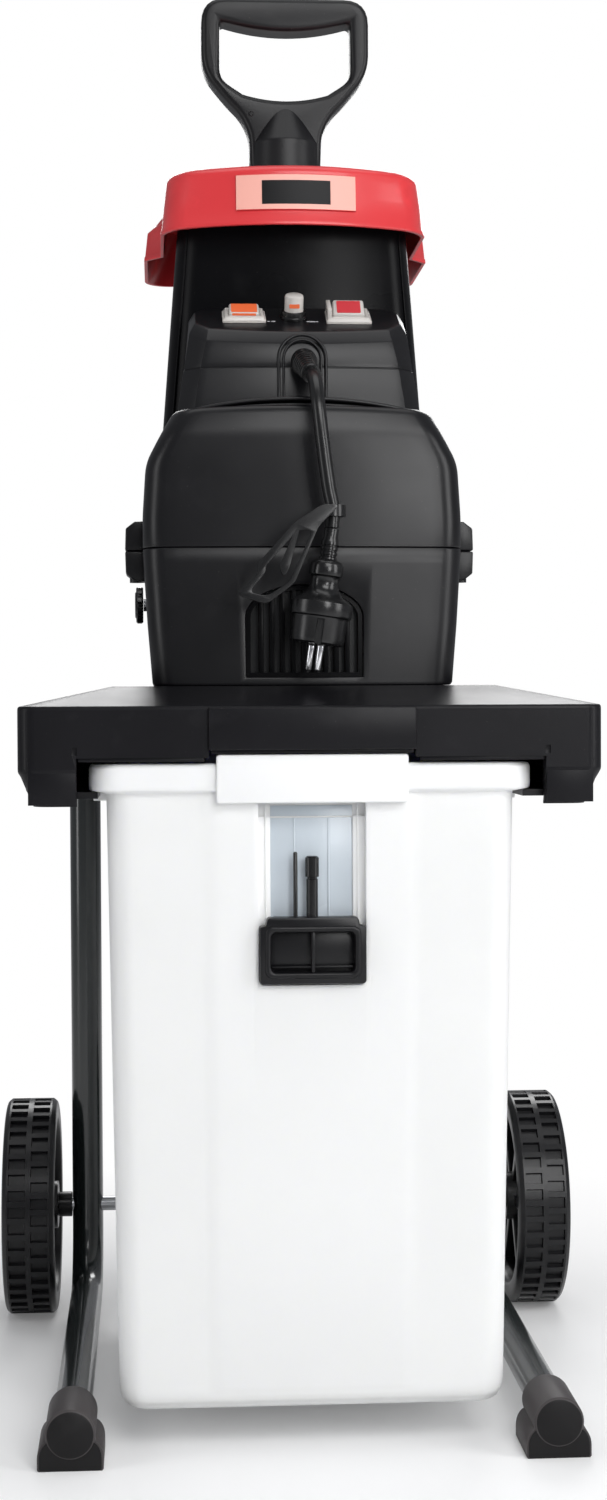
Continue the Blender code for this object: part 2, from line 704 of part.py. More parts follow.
def box_latch():
    low = (-LATCH_HALF, LATCH_FRONT, LATCH_LOW)
    latch = bevel(block("box_latch", low, (LATCH_HALF, LATCH_BACK, LATCH_LOW + LATCH_HEIGHT)), 0.0015)
    middle = LATCH_LOW + LATCH_HEIGHT / 2 - 0.001
    finger_low = middle - FINGER_HEIGHT / 2
    finger_high = middle + FINGER_HEIGHT / 2
    back = LATCH_FRONT + FINGER_DEPTH
    for side, sign in (("left", -1), ("right", 1)):
        near = sign * FINGER_RIB
        far = sign * FINGER_HALF
        corner_low = (min(near, far), LATCH_FRONT - 0.01, finger_low)
        cut(latch, block("finger_cut_" + side, corner_low, (max(near, far), back, finger_high)))
    return move_origin(latch, (0.0, LATCH_FRONT, LATCH_LOW))


def latch_rods():
    foot = LATCH_LOW + LATCH_HEIGHT + GAP
    thin_profile = ((THIN_ROD_RADIUS, foot), (THIN_ROD_RADIUS, THIN_ROD_TOP))
    thin = turned("latch_rod_thin", thin_profile, "Z", (THIN_ROD_X, ROD_Y), SOFT_BLACK, 12)
    thick_profile = ((THICK_ROD_RADIUS, foot), (THICK_ROD_RADIUS, THICK_HEAD_LOW), (THICK_HEAD_RADIUS, THICK_HEAD_LOW),
                     (THICK_HEAD_RADIUS, THICK_ROD_TOP))
    thick = turned("latch_rod_thick", thick_profile, "Z", (0.0, ROD_Y), SOFT_BLACK, 16)
    return [thin, thick]


# Motor covers

def cover_section(half, z, out=0.0):
    return (half, COVER_FRONT - out, COVER_BACK + out, COVER_CORNER, z, COVER_BOW)


def ear(name, sign, low, high):
    root = sign * (COVER_HALF - EAR_ROOT)
    out = sign * (COVER_HALF + EAR_PROUD)
    points = ((root, low), (out, low), (out, high), (root, high))
    return prism(name, points, "Y", EAR_Y - EAR_HALF, EAR_Y + EAR_HALF, BLACK)


def grille_outline(grow):
    half = GRILLE_HALF + grow
    points = [(half, GRILLE_LOW - grow)]
    steps = 8
    for i in range(steps + 1):
        angle = pi / 2 * i / steps
        points.append((half * cos(angle), GRILLE_SIDE_TOP + (GRILLE_ARCH + grow) * sin(angle)))
    return mirrored_outline(points[:-1] + [(0.0, points[-1][1])])


def motor_cover_lower():
    sections = (cover_section(COVER_FOOT_HALF, COVER_FOOT_Z), cover_section(COVER_HALF, COVER_SEAM_Z - GAP / 2))
    cover = tub("motor_cover_lower", sections, COVER_WALL, COVER_WALL, BLACK)
    for side, sign in (("left", -1), ("right", 1)):
        join(cover, ear("lower_ear_" + side, sign, COVER_SEAM_Z - EAR_HEIGHT, COVER_SEAM_Z - GAP / 2))
    chute_low = (-CHUTE_HALF, CHUTE_FRONT, COVER_FOOT_Z - 0.01)
    cut(cover, block("floor_chute", chute_low, (CHUTE_HALF, CHUTE_BACK, COVER_FOOT_Z + 0.01)))
    front = COVER_FRONT - COVER_BOW - 0.01
    cut(cover, prism("grille_hole", grille_outline(GAP), "Y", front, COVER_FRONT + 0.02, BLACK))
    axis = (THROAT_Y, ADJUSTER_Z)
    return drill(cover, "adjuster_hole", "X", axis, SCREW_RADIUS + 2 * RUNNING, -COVER_HALF - 0.02, -0.09)


def vent_grille():
    """An arched plate with a row of upright slots, set a little back from the cover's front."""
    front = COVER_FRONT - COVER_BOW + 0.003
    grille = prism("vent_grille", grille_outline(0.0), "Y", front, front + GRILLE_DEPTH, BLACK)
    pitch = 2 * GRILLE_HALF / (GRILLE_SLOTS + 1)
    for i in range(GRILLE_SLOTS):
        x = -GRILLE_HALF + pitch * (i + 1)
        rise = GRILLE_SIDE_TOP + GRILLE_ARCH * sqrt(1 - (x / GRILLE_HALF) ** 2) - 0.006
        low = (x - GRILLE_SLOT / 2, front - 0.01, GRILLE_LOW + 0.004)
        cut(grille, block("grille_slot_%d" % i, low, (x + GRILLE_SLOT / 2, front + GRILLE_DEPTH + 0.01, rise)))
    return grille


def hopper_sections(grow):
    """From the knee up. Grow is the clearance of the hole in the upper cover."""
    top = CAP_TOP_Z - CAP_WALL - GAP
    return (
        (HOPPER_KNEE_HALF + grow, HOPPER_FRONT - grow, HOPPER_BACK + grow, HOPPER_CORNER, HOPPER_KNEE_Z, HOPPER_BOW),
        (HOPPER_TOP_HALF + grow, HOPPER_FRONT - grow, HOPPER_BACK + grow, HOPPER_CORNER, top, HOPPER_BOW),
    )


def motor_cover_upper():
    """Sections run down from the closed top."""
    sections = (
        (COVER_TOP_HALF, COVER_FRONT + 0.010, COVER_BACK - 0.010, COVER_CORNER, COVER_TOP_Z, COVER_BOW),
        cover_section(COVER_SHOULDER_HALF, COVER_SHOULDER_Z),
        cover_section(COVER_HALF, COVER_WIDE_Z),
        cover_section(COVER_HALF, COVER_SEAM_Z + GAP / 2),
    )
    cover = tub("motor_cover_upper", sections, COVER_WALL, -COVER_WALL, BLACK)
    for side, sign in (("left", -1), ("right", 1)):
        join(cover, ear("upper_ear_" + side, sign, COVER_SEAM_Z + GAP / 2, COVER_SEAM_Z + EAR_HEIGHT))
    knee, top = hopper_sections(GAP)
    below = (*knee[:4], HOPPER_KNEE_Z - 0.03, HOPPER_BOW)
    hole = loft("hopper_hole", [rounded_loop(*below), rounded_loop(*knee), rounded_loop(*top)], BLACK)
    return cut(cover, hole)


def hopper():
    knee, top = hopper_sections(0.0)
    foot = (HOPPER_FOOT_HALF, THROAT_Y - THROAT_LONG, THROAT_Y + THROAT_LONG, 0.008, HOPPER_FOOT_Z, 0.001)
    sections = (foot, knee, top)
    outer = [rounded_loop(*section) for section in sections]
    inner = [rounded_loop(*inset(section, HOPPER_WALL)) for section in reversed(sections)]
    return loft("hopper", outer + inner, BLACK, ring=True)


# Control housing and switches

PANEL_RISE = (PANEL_BACK_Z - PANEL_EDGE_Z) / (PANEL_BACK - PANEL_EDGE_FRONT)
PANEL_ANGLE = atan2(PANEL_RISE, 1.0)


def panel_height(y):
    return PANEL_EDGE_Z + (y - PANEL_EDGE_FRONT) * PANEL_RISE


def panel_point(x, up, out):
    """A point on the sloping panel: x across, up the slope from its front edge, out along its normal."""
    y = PANEL_EDGE_FRONT + up * cos(PANEL_ANGLE) - out * sin(PANEL_ANGLE)
    z = PANEL_EDGE_Z + up * sin(PANEL_ANGLE) + out * cos(PANEL_ANGLE)
    return Vector((x, y, z))


def on_panel(obj, x):
    obj.location = panel_point(x, SWITCH_SLOPE_Y, 0.0)
    obj.rotation_euler = (PANEL_ANGLE, 0.0, 0.0)
    return obj


def panel_block(name, width, long, low, high, look, x):
    return on_panel(block(name, (-width / 2, -long / 2, low), (width / 2, long / 2, high), look), x)


def control_housing():
    foot_z = COVER_TOP_Z + GAP
    sections = (
        (PANEL_FRONT_HALF, PANEL_EDGE_FRONT, PANEL_BACK, PANEL_CORNER, panel_height, PANEL_BOW),
        (PANEL_FOOT_HALF, PANEL_FOOT_FRONT, PANEL_BACK, PANEL_CORNER, foot_z, PANEL_BOW),
    )
    housing = tub("control_housing", sections, PANEL_WALL, -PANEL_WALL, BLACK)
    for name, size, x in (("main", MAIN_FRAME, MAIN_X), ("selector", SELECTOR_FRAME, SELECTOR_X)):
        width, long = size
        cut(housing, panel_block(name + "_hole", width - 0.006, long - 0.006, -0.02, 0.02, BLACK, x))
    collar = prism("reset_hole", circle(RESET_COLLAR_RADIUS - 0.002), "Z", -0.02, 0.02, BLACK)
    cut(housing, on_panel(collar, RESET_X))
    direction = (CORD_EXIT - GLAND).normalized()
    bore = prism("gland_hole", circle(0.0065, steps=16), "Z", -0.02, 0.02, BLACK)
    bore.location = GLAND
    bore.rotation_euler = direction.to_track_quat("Z", "Y").to_euler()
    return cut(housing, bore)


def switch_frame(name, size, rocker, x):
    """A snap-in frame: a flange on the panel and a shell through it, open for the rocker."""
    width, long = size
    frame = panel_block(name, width, long, GAP, FRAME_HIGH, CLEAR, x)
    neck = panel_block(name + "_neck", width - 0.0066, long - 0.0066, -FRAME_DEPTH, FRAME_HIGH / 2, CLEAR, x)
    join(frame, neck)
    hole_width = rocker[0] + 2 * GAP
    hole_long = rocker[1] + 2 * GAP + ROCKER_SWING
    return cut(frame, panel_block(name + "_opening", hole_width, hole_long, -0.02, 0.02, CLEAR, x))


def rocker_switch(name, size, high, look, x):
    """A key with a raised back and a rounded underside, rocking about the line between its short ends."""
    width, long = size
    half = long / 2
    front, back = high
    outline = ((-half, 0.0), (-half * 0.5, -0.004), (half * 0.5, -0.004), (half, 0.0), (half, back), (-half, front))
    return on_panel(prism(name, outline, "X", -width / 2, width / 2, look), x)


def reset_switch():
    inner = RESET_BUTTON_RADIUS + RUNNING
    sections = ((inner, -FRAME_DEPTH), (RESET_COLLAR_RADIUS - 0.0023, -FRAME_DEPTH), (RESET_COLLAR_RADIUS - 0.0023, GAP),
                (RESET_COLLAR_RADIUS, GAP), (RESET_COLLAR_RADIUS, RESET_COLLAR_HIGH), (inner, RESET_COLLAR_HIGH))
    on_panel(turned("reset_collar", sections, "Z", (0.0, 0.0), SOFT_BLACK, ring=True), RESET_X)
    button = ((RESET_BUTTON_RADIUS, -FRAME_DEPTH), (RESET_BUTTON_RADIUS, RESET_HIGH - 0.0015),
              (RESET_BUTTON_RADIUS - 0.0015, RESET_HIGH))
    return on_panel(turned("reset_button", button, "Z", (0.0, 0.0), CLEAR), RESET_X)


# Hopper cap and plunger

def cap_section(half, z, out):
    front = CAP_FRONT - out
    return (half, front, CAP_BACK + out, CAP_CORNER, z, CAP_BOW, CAP_FRONT_RATIO, CAP_WIDE_Y)


def hopper_cap():
    sections = (cap_section(CAP_TOP_HALF, CAP_TOP_Z, 0.0), cap_section(CAP_HALF, CAP_FOOT_Z, CAP_FLARE))
    cap = tub("hopper_cap", sections, CAP_WALL, -CAP_WALL, RED)
    low = (-FEED_HALF, THROAT_Y - FEED_LONG, CAP_TOP_Z - 0.02)
    return cut(cap, block("feed_opening", low, (FEED_HALF, THROAT_Y + FEED_LONG, CAP_TOP_Z + 0.02)))


def cap_label():
    """A thin field that follows the bow and the slope of the cap's front."""
    loops = []
    steps = 8
    for height, offset in ((LABEL_LOW, 0.0), (LABEL_LOW, 1.0), (LABEL_HIGH, 1.0), (LABEL_HIGH, 0.0)):
        share = (CAP_TOP_Z - height) / (CAP_TOP_Z - CAP_FOOT_Z)
        half = CAP_TOP_HALF + (CAP_HALF - CAP_TOP_HALF) * share
        out = GAP + offset * LABEL_THICKNESS
        loop = []
        for i in range(steps + 1):
            x = LABEL_HALF * (2 * i / steps - 1)
            bow = CAP_BOW * (1.0 - (x / (half * CAP_FRONT_RATIO)) ** 2)
            loop.append(Vector((x, CAP_FRONT - CAP_FLARE * share - bow - out, height)))
        loops.append(loop)
    bm = bmesh.new()
    rows = [[bm.verts.new(point) for point in loop] for loop in loops]
    for k in range(4):
        row, following = rows[k], rows[(k + 1) % 4]
        for i in range(steps):
            bm.faces.new((row[i], row[i + 1], following[i + 1], following[i]))
    bm.faces.new([row[0] for row in rows])
    bm.faces.new([row[-1] for row in rows])
    return from_bmesh("cap_label", bm, PALE_RED, True)


def handle_outline():
    corner = HANDLE_CORNER
    points = [(NECK_HALF, CAP_TOP_Z + COLLAR_HEIGHT / 2), (NECK_HALF, NECK_TOP), (0.0355, 0.988), (0.048, 1.0004),
              (0.0625, 1.018), (HANDLE_HALF, STRAIGHT_LOW)]
    for i in range(6):
        angle = pi / 2 * i / 5
        points.append((HANDLE_HALF - corner * (1 - cos(angle)), HANDLE_TOP - corner * (1 - sin(angle))))
    return mirrored_outline(points)


def handle_window():
    """The finger opening: straight sides, a bowl at the bottom and a bar that bellies down at the top."""
    high = HANDLE_TOP - HANDLE_BAR
    belly = 0.008
    low = 1.0003
    points = [(0.0, low), (0.020, low + 0.0013), (0.036, low + 0.0058), (WINDOW_HALF - 0.0035, 1.0160),
              (WINDOW_HALF, 1.0205), (WINDOW_HALF, high - 0.008), (WINDOW_HALF - 0.006, high),
              (0.026, high - belly * 0.6), (0.0, high - belly)]
    return mirrored_outline(points)


def plunger():
    low = CAP_TOP_Z + GAP
    half = HANDLE_THICK / 2
    handle = prism("plunger_handle", handle_outline(), "Y", THROAT_Y - half, THROAT_Y + half, BLACK)
    window = handle_window()
    cut(handle, prism("handle_window", window, "Y", THROAT_Y - 0.03, THROAT_Y + 0.03, BLACK))
    bevel(handle, 0.005, 2)
    neck = ((NECK_RADIUS, CAP_TOP_Z + COLLAR_HEIGHT / 2), (NECK_RADIUS - 0.0005, NECK_CONE_Z), (0.0010, NECK_CONE_TOP))
    join(handle, turned("neck", neck, "Z", (0.0, THROAT_Y), BLACK, 24))
    collar_low = (-COLLAR_HALF, THROAT_Y - COLLAR_LONG, low)
    join(handle, block("plunger_collar", collar_low, (COLLAR_HALF, THROAT_Y + COLLAR_LONG, low + COLLAR_HEIGHT)))
    foot_low = (-PLUNGER_FOOT_HALF, THROAT_Y - PLUNGER_FOOT_LONG, PLUNGER_FOOT_Z)
    foot_high = (PLUNGER_FOOT_HALF, THROAT_Y + PLUNGER_FOOT_LONG, PLUNGER_FOOT_Z + PLUNGER_FOOT_HEIGHT)
    shaft_low = (-SHAFT_HALF, THROAT_Y - SHAFT_LONG, PLUNGER_FOOT_Z + PLUNGER_FOOT_HEIGHT / 2)
    shaft = block("plunger_shaft", shaft_low, (SHAFT_HALF, THROAT_Y + SHAFT_LONG, low - GAP))
    join(shaft, block("plunger_foot", foot_low, foot_high))
    return [handle, shaft]


# Drive

def gear_outline(teeth, centre, towards, tooth_there):
    """Straight-flanked teeth with running backlash. A tooth, or a gap, points at the angle given."""
    pitch = teeth * MODULE / 2
    tip = pitch + TIP * MODULE
    root = pitch - ROOT * MODULE
    step = 2 * pi / teeth
    start = towards if tooth_there else towards + step / 2
    points = []
    for i in range(teeth):
        middle = start + i * step
        for radius, share in ((root, -0.30), (tip, -0.105), (tip, 0.105), (root, 0.30)):
            angle = middle + share * step
            points.append((centre[0] + radius * cos(angle), centre[1] + radius * sin(angle)))
    return points




def angle_between(start, end):
    return atan2(end[1] - start[1], end[0] - start[0])


def gear(name, teeth, centre, towards, tooth_there, span, bore):
    piece = prism(name, gear_outline(teeth, centre, towards, tooth_there), "Y", span[0], span[1], STEEL)
    if bore:
        drill(piece, name + "_bore", "Y", centre, bore, span[0] - 0.02, span[1] + 0.03)
    return piece


def gear_train():
    to_motor = angle_between(IDLER_AXIS, MOTOR_AXIS)
    to_idler = angle_between(MOTOR_AXIS, IDLER_AXIS)
    to_roller = angle_between(IDLER_AXIS, ROLLER_AXIS)
    from_roller = angle_between(ROLLER_AXIS, IDLER_AXIS)
    shaft_end = FIRST_STAGE[0] - 0.002
    shaft_profile = ((MOTOR_SHAFT_RADIUS, MOTOR_CAN_FRONT - 0.006), (MOTOR_SHAFT_RADIUS, shaft_end))
    shaft = turned("motor_shaft", shaft_profile, "Y", MOTOR_AXIS, STEEL)
    pinion_span = (shaft_end - 0.0005, FIRST_STAGE[1])
    join(shaft, gear("motor_pinion", PINION_TEETH, MOTOR_AXIS, to_idler, False, pinion_span, 0.0))
    idler_bore = MOTOR_SHAFT_RADIUS * 0.7 + RUNNING
    idler = gear("idler_gear", GEAR_TEETH, IDLER_AXIS, to_motor, True, FIRST_STAGE, 0.0)
    small_span = (FIRST_STAGE[1] - 0.001, SECOND_STAGE[1])
    join(idler, gear("idler_pinion", PINION_TEETH, IDLER_AXIS, to_roller, False, small_span, 0.0))
    drill(idler, "idler_bore", "Y", IDLER_AXIS, idler_bore, FIRST_STAGE[0] - 0.02, SECOND_STAGE[1] + 0.02)
    bore = ROLLER_SHAFT_RADIUS + GAP
    roller_gear = gear("roller_gear", GEAR_TEETH, ROLLER_AXIS, from_roller, True, SECOND_STAGE, bore)
    ends = ((MOTOR_SHAFT_RADIUS * 0.7, GEARBOX_FRONT + 0.001), (MOTOR_SHAFT_RADIUS * 0.7, CHAMBER_FRONT + 0.005))
    turned("idler_shaft", ends, "Y", IDLER_AXIS, STEEL)
    move_origin(shaft, (MOTOR_AXIS[0], shaft_end, MOTOR_AXIS[1]))
    move_origin(idler, (IDLER_AXIS[0], FIRST_STAGE[0], IDLER_AXIS[1]))
    move_origin(roller_gear, (ROLLER_AXIS[0], SECOND_STAGE[0], ROLLER_AXIS[1]))
    return shaft, idler, roller_gear


def gearbox_cover():
    left = ROLLER_AXIS[0] - GEARBOX_REACH
    right = IDLER_AXIS[0] + GEARBOX_REACH
    bottom = ROLLER_AXIS[1] - GEARBOX_REACH
    top = IDLER_AXIS[1] + GEARBOX_REACH
    centre_x = (left + right) / 2
    half = (right - left) / 2
    corner = 0.010

    def outline(wall):
        flat = rounded_loop(half - wall, bottom + wall, top - wall, corner - wall, 0.0)
        return [(point.x + centre_x, point.y) for point in flat]

    back = CHAMBER_FRONT - GAP
    cover = prism("gearbox_cover", outline(0.0), "Y", GEARBOX_FRONT, back, CAST)
    inner_front = GEARBOX_FRONT + GEARBOX_WALL
    cut(cover, prism("gearbox_inside", outline(GEARBOX_WALL), "Y", inner_front, back + 0.01, CAST))
    front = GEARBOX_FRONT - 0.01
    drill(cover, "motor_shaft_hole", "Y", MOTOR_AXIS, MOTOR_SHAFT_RADIUS + RUNNING, front, inner_front + 0.002)
    return drill(cover, "idler_seat", "Y", IDLER_AXIS, MOTOR_SHAFT_RADIUS * 0.7 + GAP, front, inner_front + 0.002)


def cutter_housing():
    """A cast frame round the roller, open above for the branches and below for the chips."""
    low = (CHAMBER_LEFT, CHAMBER_FRONT, COVER_FOOT_Z + COVER_WALL + GAP)
    housing = block("cutter_housing", low, (CHAMBER_RIGHT, CHAMBER_BACK, CHAMBER_HIGH), CAST)
    wall = CHAMBER_WALL
    inside = (CHAMBER_LEFT + wall, CHAMBER_FRONT + wall, low[2] - 0.01)
    cut(housing, block("chamber", inside, (CHAMBER_RIGHT - wall, CHAMBER_BACK - wall, CHAMBER_HIGH + 0.01)))
    drill(housing, "bearing_seats", "Y", ROLLER_AXIS, BEARING_RADIUS + GAP, CHAMBER_FRONT - 0.01, CHAMBER_BACK + 0.01)
    drill(housing, "idler_hole", "Y", IDLER_AXIS, MOTOR_SHAFT_RADIUS * 0.7 + GAP, CHAMBER_FRONT - 0.01,
          CHAMBER_FRONT + wall + 0.001)
    axis = (THROAT_Y, ADJUSTER_Z)
    return drill(housing, "screw_hole", "X", axis, SCREW_RADIUS + RUNNING, CHAMBER_LEFT - 0.01, inside[0] + 0.001)


def cutting_roller():
    """Eight sawtooth blades round a core, twisted a little along the roller, on a through shaft."""
    blades = 8
    low = CHAMBER_FRONT + CHAMBER_WALL + 0.003
    high = CHAMBER_BACK - CHAMBER_WALL - 0.003
    twist = radians(20)
    loops = []
    slices = 4
    for k in range(slices + 1):
        along = low + (high - low) * k / slices
        loop = []
        for i in range(blades):
            base = 2 * pi * i / blades + twist * k / slices
            for radius, share in ((0.031, 0.02), (ROLLER_RADIUS, 0.14), (ROLLER_RADIUS - 0.002, 0.38), (0.033, 0.90)):
                angle = base + share * 2 * pi / blades
                loop.append(Vector((radius * cos(angle), along, ROLLER_Z + radius * sin(angle))))
        loops.append(loop)
    roller = loft("cutting_roller", loops, STEEL, smooth=False)
    shaft = ((ROLLER_SHAFT_RADIUS, SECOND_STAGE[0] - 0.002), (ROLLER_SHAFT_RADIUS, CHAMBER_BACK + 0.004))
    join(roller, turned("roller_shaft", shaft, "Y", ROLLER_AXIS, STEEL))
    return move_origin(roller, (0.0, low, ROLLER_Z))


def roller_bearings():
    bore = ROLLER_SHAFT_RADIUS + RUNNING
    spans = (("front", CHAMBER_FRONT + END_PLAY, CHAMBER_FRONT + CHAMBER_WALL),
             ("back", CHAMBER_BACK - CHAMBER_WALL, CHAMBER_BACK))
    for end, low, high in spans:
        sleeve("roller_bearing_" + end, "Y", ROLLER_AXIS, BEARING_RADIUS, bore, low, high, STEEL)


def motor():
    back = GEARBOX_FRONT - GAP
    inner = MOTOR_CAN_RADIUS - MOTOR_CAN_WALL
    front = MOTOR_CAN_FRONT
    hole = MOTOR_SHAFT_RADIUS + RUNNING
    can = ((hole, front), (MOTOR_CAN_RADIUS, front), (MOTOR_CAN_RADIUS, back), (inner, back),
           (inner, front + 0.003), (hole, front + 0.003))
    turned("motor_can", can, "Y", MOTOR_AXIS, CAST, 32, ring=True)
    low, high = STATOR_SPAN
    sleeve("motor_stator", "Y", MOTOR_AXIS, inner - GAP, STATOR_BORE, low, high, COPPER, 32)
    rotor = sleeve("motor_rotor", "Y", MOTOR_AXIS, ROTOR_RADIUS, MOTOR_SHAFT_RADIUS + GAP, low, high, STEEL)
    return move_origin(rotor, (MOTOR_AXIS[0], low, MOTOR_AXIS[1]))


def adjuster():
    inside = CHAMBER_FRONT + CHAMBER_WALL + END_PLAY
    outside = CHAMBER_BACK - CHAMBER_WALL - END_PLAY
    plate_low = (PLATE_LEFT, inside, ROLLER_Z - PLATE_HALF_HEIGHT)
    plate = block("pressure_plate", plate_low, (PLATE_RIGHT, outside, ROLLER_Z + PLATE_HALF_HEIGHT), STEEL)
    axis = (THROAT_Y, ADJUSTER_Z)
    drill(plate, "plate_hole", "X", axis, SCREW_RADIUS + RUNNING, PLATE_LEFT - 0.01, PLATE_LEFT + PLATE_HOLE_DEPTH)
    knob_inner = -COVER_HALF - KNOB_GAP
    screw_profile = ((SCREW_RADIUS, knob_inner + GAP), (SCREW_RADIUS, SCREW_TIP))
    screw = turned("adjusting_screw", screw_profile, "X", axis, STEEL)
    outline = []
    for i in range(KNOB_FLUTES * 4):
        radius = KNOB_RADIUS - (0.0012 if i % 4 < 2 else 0.0)
        angle = 2 * pi * i / (KNOB_FLUTES * 4)
        outline.append((THROAT_Y + radius * cos(angle), ADJUSTER_Z + radius * sin(angle)))
    knob = prism("adjusting_knob", outline, "X", knob_inner - KNOB_THICKNESS, knob_inner, BLACK)
    for piece in (screw, knob):
        move_origin(piece, (knob_inner, THROAT_Y, ADJUSTER_Z))
    return plate, screw, knob


def capacitor():
    z = COVER_FOOT_Z + COVER_WALL + GAP + CAPACITOR_RADIUS
    ends = ((CAPACITOR_RADIUS, -0.130), (CAPACITOR_RADIUS, -0.130 + CAPACITOR_LENGTH))
    return turned("capacitor", ends, "Y", (CAPACITOR_X, z), CAST)


# Cord, plug and hook

def smooth_route(points, steps):
    """Points on one smooth curve through the route."""
    route = [Vector(point) for point in points]
    ends = [2 * route[0] - route[1]] + route + [2 * route[-1] - route[-2]]
    found = []
    for i in range(len(route) - 1):
        before, start, end, after = ends[i:i + 4]
        for j in range(steps):
            t = j / steps
            found.append(0.5 * (2 * start + (end - before) * t
                                + (2 * before - 5 * start + 4 * end - after) * t ** 2
                                + (3 * start - before - 3 * end + after) * t ** 3))
    return found + [route[-1]]


def cord():
    curve = bpy.data.curves.new("cord", "CURVE")
    curve.dimensions = "3D"
    curve.bevel_depth = CORD_RADIUS
    curve.bevel_resolution = 3
    curve.use_fill_caps = True
    spline = curve.splines.new("POLY")
    points = smooth_route(CORD_ROUTE, CORD_STEPS)
    spline.points.add(len(points) - 1)
    for target, point in zip(spline.points, points):
        target.co = (*point, 1.0)
    obj = bpy.data.objects.new("cord", curve)
    bpy.context.scene.collection.objects.link(obj)
    return finish(obj, SOFT_BLACK)


def cord_boot():
    """A tapered strain relief between the housing and the cord."""
    direction = (CORD_EXIT - GLAND).normalized()
    length = (CORD_EXIT - GLAND).length
    rear = -0.0065
    boot = turned("cord_boot", ((0.0062, rear), (0.0062, 0.004), (0.0096, 0.004), (0.0092, 0.010),
                                (0.0074, length - 0.008), (0.0072, length - GAP)), "Z", (0.0, 0.0), SOFT_BLACK)
    boot.location = GLAND
    boot.rotation_euler = direction.to_track_quat("Z", "Y").to_euler()
    return boot


def on_plug(obj):
    obj.location = Vector(CORD_ROUTE[-1])
    obj.rotation_euler = (0.0, PLUG_TILT, 0.0)
    return obj


def plug():
    """Built hanging down from the cord's end, then tilted with it."""
    boot = ((0.0052, -2 * GAP), (0.0052, -0.008), (0.0062, -0.010), (0.0062, -0.022), (0.0105, -0.0245), (0.0118, -0.027),
            (0.0118, -BOOT_LONG))
    on_plug(turned("plug_boot", boot, "Z", (0.0, 0.0), SOFT_BLACK))
    top = -BOOT_LONG - GAP
    body = ((0.0118, top), (0.0135, top - 0.008), (PLUG_RADIUS - 0.001, top - 0.017), (PLUG_RADIUS, top - 0.018),
            (PLUG_RADIUS, top - 0.028), (PLUG_RADIUS - 0.002, top - 0.030), (PLUG_RADIUS - 0.003, top - 0.048))
    plug_body = turned("plug_body", body, "Z", (0.0, 0.0), SOFT_BLACK)
    on_plug(plug_body)
    face = top - 0.048
    for side, sign in (("left", -1), ("right", 1)):
        ends = ((PIN_RADIUS, face - GAP), (PIN_RADIUS, face - PIN_LENGTH + 0.001), (PIN_RADIUS * 0.5, face - PIN_LENGTH))
        reach = sign * PIN_SPACING / 2
        place = (-reach * sin(PIN_TURN), reach * cos(PIN_TURN))
        on_plug(turned("plug_pin_" + side, ends, "Z", place, STEEL, 16))


def cord_hook():
    """A flat looped hook with an eye round the cord. The eye is level and the hook hangs beside the plug."""
    centre = Vector((0.0183, -0.1883, 0.6530))
    height = 0.004
    bore = CORD_RADIUS + 0.0009
    outer_radius = bore + 0.0032
    low = centre.z - height
    high = centre.z + height
    eye = sleeve("cord_hook", "Z", (centre.x, centre.y), outer_radius, bore, low, high, SOFT_BLACK, 16)
    front = centre.y - CORD_RADIUS - 0.0015 - HOOK_THICKNESS
    back = front + HOOK_THICKNESS

    def plate(name, outline, near, far):
        placed = [(centre.x + across, centre.z + up) for across, up in outline]
        return prism(name, placed, "Y", near, far, SOFT_BLACK)

    join(eye, plate("hook_frame", HOOK_OUTLINE, front, back))
    cut(eye, plate("hook_window", HOOK_WINDOW, front - 0.01, back + 0.003))
    join(eye, plate("hook_tongue", HOOK_TONGUE, front + 0.0005, back - 0.0005))
    passage = circle(bore, (centre.x, centre.y), 16)
    return cut(eye, prism("eye_passage", passage, "Z", low - 0.01, high + 0.01, SOFT_BLACK))


# The whole machine

def build():
    for obj in list(bpy.data.objects):
        bpy.data.objects.remove(obj, do_unlink=True)
    axle_parts()
    for side, sign in (("left", -1), ("right", 1)):
        frame_tube(side, sign)
        foot_cap(side, sign)
        frame_socket(side, sign)
        box_rail(side, sign)
        spinning = wheel(side, sign)
        joint_empty("wheel_%s_axis" % side, spinning.location.copy(), [spinning])
    deck_shell()
    safety_switch()
    box = collection_box()
    latch = box_latch()
    latch_axis = joint_empty("latch_slide_axis", latch.location.copy(), [latch] + latch_rods())
    joint_empty("box_slide_axis", box.location.copy(), [box, latch_axis])
    motor_cover_lower()
    motor_cover_upper()
    vent_grille()
    hopper()
    hopper_cap()
    cap_label()
    joint_empty("plunger_slide_axis", Vector((0.0, THROAT_Y, CAP_TOP_Z)), plunger())
    control_housing()
    switch_frame("main_switch_frame", MAIN_FRAME, MAIN_ROCKER, MAIN_X)
    rocker_switch("main_switch_rocker", MAIN_ROCKER, MAIN_HIGH, SWITCH_RED, MAIN_X)
    switch_frame("selector_frame", SELECTOR_FRAME, SELECTOR_ROCKER, SELECTOR_X)
    rocker_switch("selector_rocker", SELECTOR_ROCKER, SELECTOR_HIGH, ORANGE, SELECTOR_X)
    reset_switch()
    cutter_housing()
    gearbox_cover()
    roller_bearings()
    shaft, idler, roller_gear = gear_train()
    joint_empty("motor_axis", shaft.location.copy(), [shaft, motor()])
    joint_empty("idler_axis", idler.location.copy(), [idler])
    roller = cutting_roller()
    joint_empty("roller_axis", roller.location.copy(), [roller, roller_gear])
    plate, screw, knob = adjuster()
    joint_empty("knob_axis", knob.location.copy(), [knob, screw])
    joint_empty("plate_slide_axis", Vector((PLATE_RIGHT, THROAT_Y, ROLLER_Z)), [plate])
    capacitor()
    cord()
    cord_boot()
    plug()
    cord_hook()


build()
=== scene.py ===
"""Looks of an electric garden shredder: every visible shell, its finish, the cord, the light and the camera.

Metres, +Z up, the front faces -Y. Named sizes that the part's source also has carry the same value here.
"""

